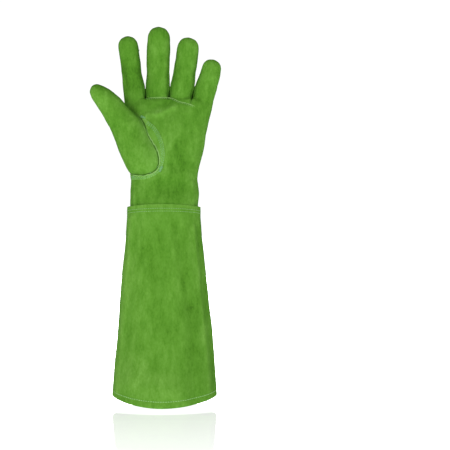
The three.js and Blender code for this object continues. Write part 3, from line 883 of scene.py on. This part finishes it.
def straighten(edges, rounds=6):
    """Relaxes a seam along itself, so that it runs as a smooth line."""
    near = {}
    for edge in edges:
        a, b = edge.verts
        near.setdefault(a, []).append(b)
        near.setdefault(b, []).append(a)
    for _ in range(rounds):
        moved = {v: (v.co + (n[0].co + n[1].co) / 2) / 2 for v, n in near.items() if len(n) == 2}
        for vert, spot in moved.items():
            vert.co = spot


def open_at(bm, height):
    """Cuts off what is below a height, as the open wrist."""
    whole = bm.verts[:] + bm.edges[:] + bm.faces[:]
    bmesh.ops.bisect_plane(bm, geom=whole, plane_co=(0, 0, height), plane_no=(0, 0, -1), clear_outer=True)


def tree_of_points(points):
    tree = kdtree.KDTree(len(points))
    for i, spot in enumerate(points):
        tree.insert(spot, i)
    tree.balance()
    return tree


def seam_spots(edges):
    """The seam's points and the middles between them, for measuring how far away a place is."""
    middles = [(e.verts[0].co + e.verts[1].co) / 2 for e in edges]
    return [v.co.copy() for e in edges for v in e.verts] + middles


# %% Cut the hand
hand = bmesh.new()
hand.from_mesh(hand_form.data)
uncut = hand.copy()
open_at(hand, HAND_BASE)
hand.verts.index_update()
cut_along(hand, panel_of)
seams = seam_edges(hand)
straighten(seams)
bmesh.ops.dissolve_degenerate(hand, dist=SHORTEST, edges=hand.edges)
seam_tree = tree_of_points(seam_spots(seam_edges(hand)))
print("the hand's skin has", len(hand.faces), "faces")

# %% [markdown]
# ## Sewn edges
#
# Glove seams are sewn from inside and turned, so from outside a seam is a narrow valley between two soft
# rolls. The leather is pushed in near the seam and puckers a little where the thread pulls. How near a
# seam each point lies is kept as an attribute, because the nap is brushed differently there.
#
# A panel gets its thickness by extruding it inwards. A Solidify modifier would look only at the panel's own
# faces, and at a narrow end these point astray, so the directions are kept while the skin is still whole.

# %% Press in the seams
GROOVE = [(1.1 * MM, 0.75 * MM), (4.0 * MM, 0.3 * MM)]  # reach and depth
SEAM_REACH = 1.3 * MM  # the nap is pressed down this near to a seam
PUCKER = 0.22 * MM
PUCKER_AWAY = 3.2 * MM
PUCKER_SIZE = 3.1 * MM
SIDE_SHADE = 1.5  # painted shade: the colour is this much darker where the leather turns round a side, away from front and back


def press_seams(bm, tree):
    """Sinks the leather near seams and keeps each point's nearness as the attribute seam."""
    bm.normal_update()
    layer = bm.verts.layers.float.new("seam")
    for vert in bm.verts:
        away = tree.find(vert.co)[2]
        depth = sum(deep * math.exp(-((away / reach) ** 2)) for reach, deep in GROOVE)
        beside = math.exp(-((away / PUCKER_AWAY - 1) ** 2) * 3)
        depth += PUCKER * beside * noise.noise(vert.co / PUCKER_SIZE)
        vert[layer] = math.exp(-((away / SEAM_REACH) ** 2))
        vert.co -= vert.normal * depth * (0.4 + 0.6 * abs(vert.normal.y))


def keep_outward(bm):
    """Keeps each point's outward direction, and paints shade round the sides."""
    bm.normal_update()
    outward, wear_and_painted_light = bm.verts.layers.float_vector.new("outward"), bm.verts.layers.float["wear_and_painted_light"]
    for vert in bm.verts:
        vert[outward] = vert.normal
        # painted shade, darker the more the outward direction turns sideways
        vert[wear_and_painted_light] -= SIDE_SHADE * (1 - abs(vert.normal.y)) ** 3


press_seams(hand, seam_tree)
keep_outward(hand)
print("pressed in", len(seam_edges(hand)), "seam edges")


def panel_mesh(bm, label):
    """One panel as a bmesh of its own."""
    part = bm.copy()
    layer = part.faces.layers.int["panel"]
    bmesh.ops.delete(part, geom=[f for f in part.faces if f[layer] != label], context="FACES")
    return part


def leather(name, bm, thickness, edge=0.35 * MM):
    """Gives a skin its thickness, one number or one for each point, and rounds its cut edges."""
    weight = bm.edges.layers.float.new("bevel_weight_edge")
    outward = bm.verts.layers.float_vector["outward"]
    bm.verts.index_update()
    for rim in bm.edges:
        rim[weight] = float(rim.is_boundary)
    inward = -np.array([v[outward] for v in bm.verts]) * np.reshape(thickness, (-1, 1))
    places = [v.co + Vector(move) for v, move in zip(bm.verts, inward)]
    number = bm.verts.layers.int.new("number")
    for i, vert in enumerate(bm.verts):
        vert[number] = i
    made = bmesh.ops.extrude_face_region(bm, geom=bm.faces[:], use_keep_orig=True)["geom"]
    for vert in made:
        if isinstance(vert, bmesh.types.BMVert):
            vert.co = places[vert[number]]
    bmesh.ops.recalc_face_normals(bm, faces=bm.faces)
    thing = mesh_object(name + "_leather", bm)
    rounded = thing.modifiers.new("edge", "BEVEL")
    rounded.width = edge
    rounded.segments = 2
    rounded.limit_method = "WEIGHT"
    return thing


def finish_piece(thing, material, slot, *nodes):
    """Material, body and the solid that the piece stands for. The slot is not used."""
    thing.data.materials.append(material)
    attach(thing, "root")
    if nodes:
        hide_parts(*nodes)
    return thing


# %% [markdown]
# ## Suede
#
# Split suede has a short nap that stands up in tiny tufts. It scatters light, so it looks matt and almost
# flat, and where it was brushed another way it looks paler or darker. The material goes from a painted shade
# through its own greens to a pale green by noise of several sizes, and a very fine bump makes the tufts. Two
# attributes
# from the shaping steer it: one holds worn nap together with painted shade in hollows, slits and round the
# sides and painted light on ridges and beside the thumb's crease, and seam says where it is pressed down.


# %% Suede material
def colour(red, green, blue):
    """A shader colour from a colour as seen on a screen, 0 to 255."""
    return tuple(((v / 255 + 0.055) / 1.055) ** 2.4 for v in (red, green, blue)) + (1,)


def noise_of(tree, scale, detail=2.0, roughness=0.5, stretch=None):
    """Noise on the object's own place."""
    node = tree.nodes.new("ShaderNodeTexNoise")
    node.inputs["Scale"].default_value = scale
    node.inputs["Detail"].default_value = detail
    node.inputs["Roughness"].default_value = roughness
    tree.links.new(place_of(tree, stretch), node.inputs["Vector"])
    return node.outputs["Fac"]


def read_attribute(tree, name):
    node = tree.nodes.new("ShaderNodeAttribute")
    node.attribute_name = name
    return node.outputs["Fac"]


def weighed_sum(tree, start, *parts):
    """The start value with each part's socket times its weight added."""
    total = start
    for source, weight in parts:
        node = tree.nodes.new("ShaderNodeMath")
        node.operation = "MULTIPLY_ADD"
        tree.links.new(source, node.inputs[0])
        node.inputs[1].default_value = weight
        if total is start:
            node.inputs[2].default_value = start
        else:
            tree.links.new(total, node.inputs[2])
        total = node.outputs[0]
    return total


def raise_bump(tree, shader, height, strength, distance):
    bump = tree.nodes.new("ShaderNodeBump")
    bump.inputs["Strength"].default_value = strength
    bump.inputs["Distance"].default_value = distance
    tree.links.new(height, bump.inputs["Height"])
    tree.links.new(bump.outputs["Normal"], shader.inputs["Normal"])


def suede(name, dark, middle, light, seam_tone):
    """Split suede in three greens, with a tone for its pressed seams."""
    material = bpy.data.materials.new(name)
    tree, shader = nodes_of(material)
    patches = noise_of(tree, 36, 2, 0.5, (1, 1, 0.7))
    strokes = noise_of(tree, 140, 4, 0.65, (1, 1, 0.36))
    tufts = noise_of(tree, 520, 3, 0.6, (1, 1, 0.6))
    # this attribute brings worn nap, painted shade and painted light into the tone
    wear_and_painted_light = read_attribute(tree, "wear_and_painted_light")
    tone = weighed_sum(tree, 0.06, (patches, 0.14), (strokes, 0.44), (tufts, 0.3), (wear_and_painted_light, 0.1))
    stops = [(0.16, PAINTED_SHADE_TONE), (0.38, dark), (0.5, middle), (0.62, light), (0.8, WORN_AND_PAINTED_LIGHT_TONE)]
    pressed = tree.nodes.new("ShaderNodeMix")
    pressed.data_type = "RGBA"
    tree.links.new(weighed_sum(tree, 0, (read_attribute(tree, "seam"), 0.6)), pressed.inputs["Factor"])
    tree.links.new(ramp_of(tree, tone, stops), pressed.inputs["A"])
    pressed.inputs["B"].default_value = seam_tone
    tree.links.new(pressed.outputs["Result"], shader.inputs["Base Color"])
    shader.inputs["Roughness"].default_value = 0.95
    shader.inputs["Specular IOR Level"].default_value = 0.12
    shader.inputs["Sheen Weight"].default_value = 0.05
    shader.inputs["Sheen Roughness"].default_value = 0.6
    shader.inputs["Sheen Tint"].default_value = light
    nap = weighed_sum(tree, 0, (noise_of(tree, 2600, 3, 0.7), 0.6), (noise_of(tree, 620, 3, 0.55), 0.7))
    raise_bump(tree, shader, nap, 0.5, 0.35 * MM)
    return material


PAINTED_SHADE_TONE = colour(24, 52, 8)  # painted shade down in the slits and round the sides
WORN_AND_PAINTED_LIGHT_TONE = colour(136, 190, 90)  # where the nap is worn off, and painted light beside the thumb's crease
hand_suede = suede(
    "hand_suede", colour(75, 130, 31), colour(90, 145, 44), colour(107, 161, 61), colour(64, 112, 30)
)
cuff_suede = suede(
    "cuff_suede", colour(80, 135, 34), colour(94, 150, 47), colour(110, 164, 62), colour(74, 125, 36)
)
print("suede ready")

# %% Hand panels
HAND_PANELS = [
    ("palm", PALM), ("back", BACK), ("middle_finger_front", MIDDLE), ("ring_finger_front", RING),
    ("thumb_front", THUMB_FRONT), ("thumb_back", THUMB_BACK), ("fourchette_index_middle", FOURCHETTE),
    ("fourchette_middle_ring", FOURCHETTE + 1), ("fourchette_ring_little", FOURCHETTE + 2),
]
for name, label in HAND_PANELS:
    thing = leather(name, panel_mesh(hand, label), LEATHER)
    finish_piece(thing, hand_suede, "hand_suede", name)
    print(thing.name, len(thing.data.polygons), "faces")
bpy.data.objects.remove(hand_form)

# %% [markdown]
# ## The long cuff
#
# The cuff is two flared panels sewn together down both sides. Each is a flat grid rolled round half of the
# oval. At the mouth the edge is turned up inside and stitched as a hem, so the leather is two plies thick
# there. At the top the cuff leans in against the hand, with two rows of stitches.

# %% Cuff shape
CUFF_ROWS = 180
CUFF_COLUMNS = 130
HEM_PLY = 1.2 * MM
HEM_ROLL = 0.3 * MM  # the hem stands out this much below its stitches
CUFF_LUMPS = [(60 * MM, 1.1 * MM), (22 * MM, 0.35 * MM), (7 * MM, 0.12 * MM)]
CUFF_STITCH_ROWS = (4.8 * MM, 7.8 * MM)  # below the upper edge
STITCH_SINK = 0.3 * MM
TOP_LEAN = 1.1 * MM
SIDE_GROOVE = [(1.3 * MM, 0.8 * MM), (4 * MM, 0.35 * MM)]  # reach and depth
SIDE_LAP = 0.1 * MM  # each panel reaches this far past the side seam
# up, how far the worn cuff bulges past its straight flare on the thumb's side and on the other, in mm
CUFF_BELLY = [
    (0.0, 0.3, 1.9), (0.15, 0.8, 3.1), (0.3, 0.6, 2.8), (0.5, 0.9, 1.9), (0.65, 0.5, 0.9), (0.82, 0.2, 0.1),
    (0.94, 0.5, 0.3), (1.0, 1.9, 1.6),
]


def cuff_shape(turn, height):
    """The cuff's surface without folds: position for each turn round it and height up it."""
    share = height / CUFF_LENGTH
    half_width, half_depth = ((m + (t - m) * share) / 2 for m, t in zip(CUFF_MOUTH, CUFF_TOP))
    fall = np.maximum(0, 1 - height / (0.4 * CUFF_LENGTH)) ** 2 * MOUTH_DIP
    arch = np.maximum(0, 1 - (CUFF_LENGTH - height) / (0.3 * CUFF_LENGTH)) ** 2 * TOP_ARCH
    power = 2 / (1.86 + 0.19 * share)
    cos, sin = np.cos(turn), np.sin(turn)
    along, through = np.sign(cos) * abs(cos) ** power, np.sign(sin) * abs(sin) ** power
    up, left, right = np.array(CUFF_BELLY).T
    belly = np.where(along < 0, cubic_through(up, left, share), cubic_through(up, right, share)) * MM
    z = height + fall + abs(through) ** 1.5 * (arch - fall)
    return np.stack([along * (half_width + belly), through * half_depth, z]), along, through, half_width


def bell(distance, reach):
    """1 at no distance, falling softly to 0 past the reach."""
    return np.exp(-((distance / reach) ** 2))


def cuff_relief(side, along, through, height, half_width, from_side, place):
    """How far the cuff's leather stands out from its bare shape, and how pale or dark its colour is painted:
    ridges paler and hollows darker, as worn nap and as painted light and shade.
    """
    from_top = CUFF_LENGTH - height
    sides = np.full(len(along), side)
    out = fold_relief(CUFF_FOLDS, sides, along, height, half_width, CUFF_LENGTH, CUFF_MOUTH[0])
    out *= np.minimum(1, abs(through) * 2)
    out += lumps(place.T, CUFF_LUMPS)
    # ridges painted paler and hollows darker, partly worn nap and partly painted light and shade; the top
    # edge worn pale
    wear_and_painted_light = 0.8 * np.tanh(out / RIDGE_WEAR_AND_LIGHT_RISE) + 0.9 * bell(from_top, 5 * MM)
    out -= sum(deep * bell(from_side, reach) for reach, deep in SIDE_GROOVE)
    for row in (HEM_HEIGHT, *(CUFF_LENGTH - below for below in CUFF_STITCH_ROWS)):
        out -= STITCH_SINK * bell(height - row, 0.9 * MM) * abs(through) ** 0.5
    out -= TOP_LEAN * bell(from_top, 4 * MM) * abs(through) ** 0.5
    out += HEM_ROLL * bell(height - HEM_HEIGHT * 0.45, 3 * MM) * abs(through)
    return out, wear_and_painted_light


# %% Cuff panels
def cuff_panel(side):
    """Half of the cuff as a skin with folds, and its thickness at each point."""
    bm = bmesh.new()
    seam, wear_and_painted_light = bm.verts.layers.float.new("seam"), bm.verts.layers.float.new("wear_and_painted_light")
    verts = bmesh.ops.create_grid(bm, x_segments=CUFF_COLUMNS, y_segments=CUFF_ROWS, size=0.5)["verts"]
    flat = np.array([v.co for v in verts])
    around, height = flat[:, 0] + 0.5, (flat[:, 1] + 0.5) * CUFF_LENGTH
    place, along, through, half_width = cuff_shape(math.pi * (around if side > 0 else 1 + around), height)
    from_side = np.minimum(around, 1 - around) * math.pi * half_width * 0.86
    out, cuff_wear_and_light = cuff_relief(side, along, through, height, half_width, from_side, place)
    radial = np.stack([along, through * 1.2, 0 * along])
    radial /= np.linalg.norm(radial, axis=0)
    place = place + radial * out
    place[1] -= side * SIDE_LAP
    for i, vert in enumerate(verts):
        vert.co = place[:, i]
        vert[seam] = bell(from_side[i], SEAM_REACH)
        vert[wear_and_painted_light] = cuff_wear_and_light[i]
    bmesh.ops.recalc_face_normals(bm, faces=bm.faces)
    if sum(face.normal.y for face in bm.faces) * side < 0:
        bmesh.ops.reverse_faces(bm, faces=bm.faces)
    keep_outward(bm)
    outward = bm.verts.layers.float_vector["outward"]
    for vert, direction in zip(bm.verts, radial.T):
        vert[outward] = direction
    hem = np.clip((HEM_HEIGHT - height) / (0.8 * MM) + 0.5, 0, 1)
    return bm, CUFF_WALL + HEM_PLY * hem


for name, side in (("cuff_front", -1), ("cuff_back", 1)):
    thing = leather(name, *cuff_panel(side), 0.45 * MM)
    finish_piece(thing, cuff_suede, "cuff_suede", name)
    print(thing.name, len(thing.data.polygons), "faces")

# %% [markdown]
# ## The welt round the thumb
#
# The thumb's seam takes the most wear, so a second narrow ply of leather lies round it on the palm and is
# sewn down with three rows of thread. It is cut from a copy of the palm's skin, lifted by its thickness and
# pared thin towards its outer edge.

# %% Thumb welt
WELT_STOP = 2 * MM
WELT_LIFT = 0.15 * MM
WELT_SKIVE = 3 * MM  # towards its outer edge the ply is pared down this far in
WELT_ROWS = (1.1 * MM, 2.7 * MM, 4.3 * MM)  # stitch rows inside the outer edge
WELT_SINK = 0.2 * MM  # each row draws the ply in this deep
welt_line = drawn(WELT_EDGE)


def inside_outline(outline, x, z):
    """Whether points lie inside a closed outline."""
    inside = np.zeros(len(x), bool)
    for (xa, za), (xb, zb) in zip(outline, np.roll(outline, -1, axis=0)):
        crosses = (za > z) != (zb > z)
        inside ^= crosses & (x < xa + (z - za) * (xb - xa) / (zb - za + 1e-12))
    return inside


def welt_label(points):
    x, y, z = points.T
    return (inside_outline(welt_line, x, z) & (y < -WELT_STOP) & ~on_thumb(points)).astype(int)


def round_the_thumb(face):
    """Whether a face lies where the welt can be, so that the rest needn't be cut."""
    x, y, z = face.calc_center_median()
    return thumb_low[0] < x < 20 * MM and y < 5 * MM and 0.3 < (z - HAND_BASE) / PALM_LENGTH < 0.9


bmesh.ops.delete(uncut, geom=[f for f in uncut.faces if not round_the_thumb(f)], context="FACES")
uncut.verts.index_update()
cut_along(uncut, welt_label)
straighten(seam_edges(uncut))
bmesh.ops.dissolve_degenerate(uncut, dist=SHORTEST, edges=uncut.edges)
keep_outward(uncut)
welt = panel_mesh(uncut, 1)
welt.verts.layers.float.new("seam")
wear_and_painted_light = welt.verts.layers.float["wear_and_painted_light"]
outward = welt.verts.layers.float_vector["outward"]
edge_tree = tree_of_points([(x, 0, z) for x, z in welt_line])
welt_plies = []
for vert in welt.verts:
    from_edge = edge_tree.find((vert.co.x, 0, vert.co.z))[2]
    sink = sum(WELT_SINK * bell(from_edge - row, 0.6 * MM) for row in WELT_ROWS)
    welt_plies.append(WELT_PLY * (0.3 + 0.7 * min(1, from_edge / WELT_SKIVE)) - sink)
    vert.co += Vector(vert[outward]) * (WELT_LIFT + welt_plies[-1])
    vert[wear_and_painted_light] += 0.9 * bell(from_edge, 4 * MM)
thing = leather("thumb_welt", welt, welt_plies, 0.15 * MM)
finish_piece(thing, hand_suede, "hand_suede", "thumb_welt")
print(thing.name, len(thing.data.polygons), "faces")

# %% [markdown]
# ## Threads and rolled edges
#
# Where a turned seam shows its edge, a thin pale line of leather stands up along it. It is a fine tube
# along the seam. The topstitches are little capsules of thread, set one after the other along a line that
# is laid on the finished leather. Each has only a few faces, because there are hundreds of them.


# %% Thread materials
def thread_material(name, tone, deep):
    """Matt sewing thread with a fine twist."""
    material = bpy.data.materials.new(name)
    tree, shader = nodes_of(material)
    twist = noise_of(tree, 900)
    tree.links.new(ramp_of(tree, twist, [(0.3, deep), (0.65, tone)]), shader.inputs["Base Color"])
    raise_bump(tree, shader, twist, 0.4, 0.1 * MM)
    shader.inputs["Roughness"].default_value = 0.8
    shader.inputs["Sheen Weight"].default_value = 0.2
    return material


pale_thread = thread_material("pale_thread", colour(146, 196, 120), colour(122, 176, 96))
blue_thread = thread_material("blue_thread", colour(128, 186, 120), colour(106, 168, 96))
hem_thread = thread_material("hem_thread", colour(158, 210, 128), colour(134, 194, 104))
green_thread = thread_material("green_thread", colour(130, 182, 88), colour(110, 164, 70))
edge_suede = suede(
    "edge_suede", colour(120, 170, 84), colour(138, 186, 100), colour(150, 196, 114), colour(110, 160, 74)
)
print("threads ready")


# %% Laying lines on the leather
def surface_of(*names):
    """The finished surfaces of some pieces, for laying threads on."""
    depsgraph = bpy.context.evaluated_depsgraph_get()
    return [bvhtree.BVHTree.FromObject(bpy.data.objects[name + "_leather"], depsgraph) for name in names]


def met_first(start, direction, trees):
    """The place and the normal where a surface is met first, or None."""
    hits = [tree.ray_cast(start, direction) for tree in trees]
    hits = [hit for hit in hits if hit[0] is not None]
    return min(hits, key=lambda hit: hit[3])[:2] if hits else None


def from_front(x, z, trees):
    """What is met first at a place of the front view."""
    return met_first(Vector((x, -200 * MM, z)), Vector((0, 1, 0)), trees)


def laid(line, trees):
    """Lays a line of x and z on what is met first from the front."""
    found = [from_front(x, z, trees) for x, z in line]
    return [spot for spot in found if spot]


def laid_round(ring, trees):
    """Lays a level ring of points on what is met first from outside."""
    found = []
    for point in ring:
        outward = Vector((point[0], point[1], 0)).normalized()
        found.append(met_first(Vector(point) + outward * 30 * MM, -outward, trees))
    return [spot for spot in found if spot]


def smoothed(spots, rounds=8):
    """A laid line with its small kinks taken out."""
    points = np.array([spot for spot, _ in spots])
    for _ in range(rounds):
        points[1:-1] = (points[1:-1] * 2 + points[:-2] + points[2:]) / 4
    return [(Vector(point), normal) for point, (_, normal) in zip(points, spots)]


def beside(line, distance):
    """A line of x and z moved sideways, to its right."""
    run = np.gradient(line, axis=0)
    run /= np.linalg.norm(run, axis=1, keepdims=True)
    return line + distance * np.stack([run[:, 1], -run[:, 0]], axis=1)


palm_surface = surface_of("palm", "middle_finger_front", "ring_finger_front")
welt_surface = surface_of("thumb_welt")
thumb_surface = surface_of("thumb_front")
cuff_surface = surface_of("cuff_front", "cuff_back")
print("the welt's edge lies on", len(laid(welt_line, welt_surface)), "of", len(welt_line), "points")

# %% Rolled edges
THUMB_MIDDLE = (-24 * MM, 301 * MM)  # a place on the ball of the thumb, seen from the front
EDGE_TURNS = (80, -130)  # the loose edge starts and ends in these directions from there
EDGE_STEP = 1.2 * MM  # and lies this far outside the thumb
EDGE_WEAR = 4 * MM  # an edge is thinner and thicker in turns of about this length


def rolled_edge(name, spots, radius, lift):
    """A thin tube of leather along a laid line."""
    curve = bpy.data.curves.new(name, "CURVE")
    curve.dimensions = "3D"
    curve.bevel_depth = radius
    curve.bevel_resolution = 2
    curve.use_fill_caps = True
    spline = curve.splines.new("POLY")
    spline.points.add(len(spots) - 1)
    for i, (point, (spot, normal)) in enumerate(zip(spline.points, spots)):
        point.co = (*(spot + normal * lift), 1)
        wear = 0.85 + 0.3 * noise.noise(spot / EDGE_WEAR)
        point.radius = wear * min(1, 0.35 + i / 6, 0.35 + (len(spots) - 1 - i) / 6)
    made = bpy.data.objects.new(name + "_curve", curve)
    bpy.context.collection.objects.link(made)
    data = bpy.data.meshes.new_from_object(made.evaluated_get(bpy.context.evaluated_depsgraph_get()))
    bpy.data.objects.remove(made)
    data.polygons.foreach_set("use_smooth", [True] * len(data.polygons))
    data.materials.clear()
    piece = bpy.data.objects.new(name, data)
    bpy.context.collection.objects.link(piece)
    finish_piece(piece, edge_suede, "hand_suede")
    print(name, "has", len(spots), "points")


def thumb_outline():
    """The edge of the thumb's leather over the palm, as it is seen from the front."""
    spots = []
    for turn in np.radians(np.linspace(*EDGE_TURNS, 90)):
        for reach in np.arange(50, 2, -0.5) * MM:
            x, z = THUMB_MIDDLE[0] + reach * math.cos(turn), THUMB_MIDDLE[1] + reach * math.sin(turn)
            thumb, under = from_front(x, z, thumb_surface), from_front(x, z, palm_surface + welt_surface)
            if thumb and (under is None or thumb[0].y < under[0].y):
                x, z = x + EDGE_STEP * math.cos(turn), z + EDGE_STEP * math.sin(turn)
                spots += laid([(x, z)], palm_surface + welt_surface)
                break
    return spots


rolled_edge("thumb_seam_edge", smoothed(thumb_outline(), 5), 0.8 * MM, 0.35 * MM)
rolled_edge("finger_seam_edge", smoothed(laid(finger_seam[3:-3], palm_surface)), 0.62 * MM, 0.1 * MM)

# %% Stitches
STITCH = (2.1 * MM, 0.7 * MM, 0.6 * MM)  # length, width, height
HEM_STITCH = (2.4 * MM, 1.0 * MM, 0.5 * MM)
TACK_STITCH = (3.6 * MM, 0.65 * MM, 0.9 * MM)
TACKS = [((-0.63, 0.838), (-0.53, 0.818)), ((-0.15, 0.43), (-0.21, 0.385))]  # the ends, across and up


def evenly(spots, pitch):
    """Spots along a laid line at an even pitch, each with the direction of the line there."""
    points = np.array([spot for spot, _ in spots])
    normals = np.array([normal for _, normal in spots])
    travel = np.concatenate([[0], np.cumsum(np.linalg.norm(np.diff(points, axis=0), axis=1))])
    count = max(1, int(travel[-1] / pitch))
    ahead = 0.3 * pitch
    for s in (np.arange(count) + 0.5) * travel[-1] / count:
        here, before, after, normal = (
            Vector([np.interp(t, travel, values[:, c]) for c in range(3)])
            for t, values in ((s, points), (s - ahead, points), (s + ahead, points), (s, normals))
        )
        yield here, (after - before).normalized(), normal.normalized()


def stitches(bm, spots, pitch, size=STITCH, turned=False, sunk=0.15):
    """Lays capsules of thread along a line; turned puts them across it."""
    for here, along, normal in evenly(spots, pitch):
        across = normal.cross(along).normalized()
        if turned:
            along, across = across, -along
        long, wide, high = (v / 2 for v in size)
        axes = Matrix((along * long, across * wide, along.cross(across) * high)).transposed()
        place = Matrix.Translation(here + normal * high * (1 - 2 * sunk)) @ axes.to_4x4()
        bmesh.ops.create_uvsphere(bm, u_segments=8, v_segments=5, radius=1, matrix=place)


def sewn(name, material, pitch, lines, **style):
    """One piece of thread from all stitches along some laid lines."""
    bm = bmesh.new()
    for spots in lines:
        stitches(bm, spots, pitch, **style)
    thing = mesh_object(name, bm)
    finish_piece(thing, material, "stitching")
    print(name, len(thing.data.polygons), "faces")


def tack_line(ends):
    """Points from one end of a bar tack to the other."""
    start, end = hand_spots(ends)
    return [start + share * (end - start) for share in np.linspace(0, 1, 10)]


def round_the_cuff(height):
    """A line round the front and one round the back of the cuff, which stop beside the side seams."""
    for start in (0, math.pi):
        turns = start + np.linspace(0.08, math.pi - 0.08, 180)
        yield laid_round(cuff_shape(turns, np.full(len(turns), height))[0].T, cuff_surface)


welt_lines = [laid(beside(welt_line, row)[8:-8], welt_surface) for row in WELT_ROWS]
tack_lines = [laid(tack_line(ends), welt_surface + palm_surface) for ends in TACKS]
cuff_lines = [line for below in CUFF_STITCH_ROWS for line in round_the_cuff(CUFF_LENGTH - below)]
sewn("welt_threads", blue_thread, 2.7 * MM, welt_lines)
sewn("finger_seam_threads", green_thread, 2.5 * MM, [laid(beside(finger_seam, 1.6 * MM)[4:-4], palm_surface)])
sewn("bar_tacks", blue_thread, 0.6 * MM, tack_lines, size=TACK_STITCH, turned=True)
sewn("cuff_threads", pale_thread, 2.7 * MM, cuff_lines)
sewn("hem_threads", hem_thread, 2.9 * MM, round_the_cuff(HEM_HEIGHT), size=HEM_STITCH, sunk=0)
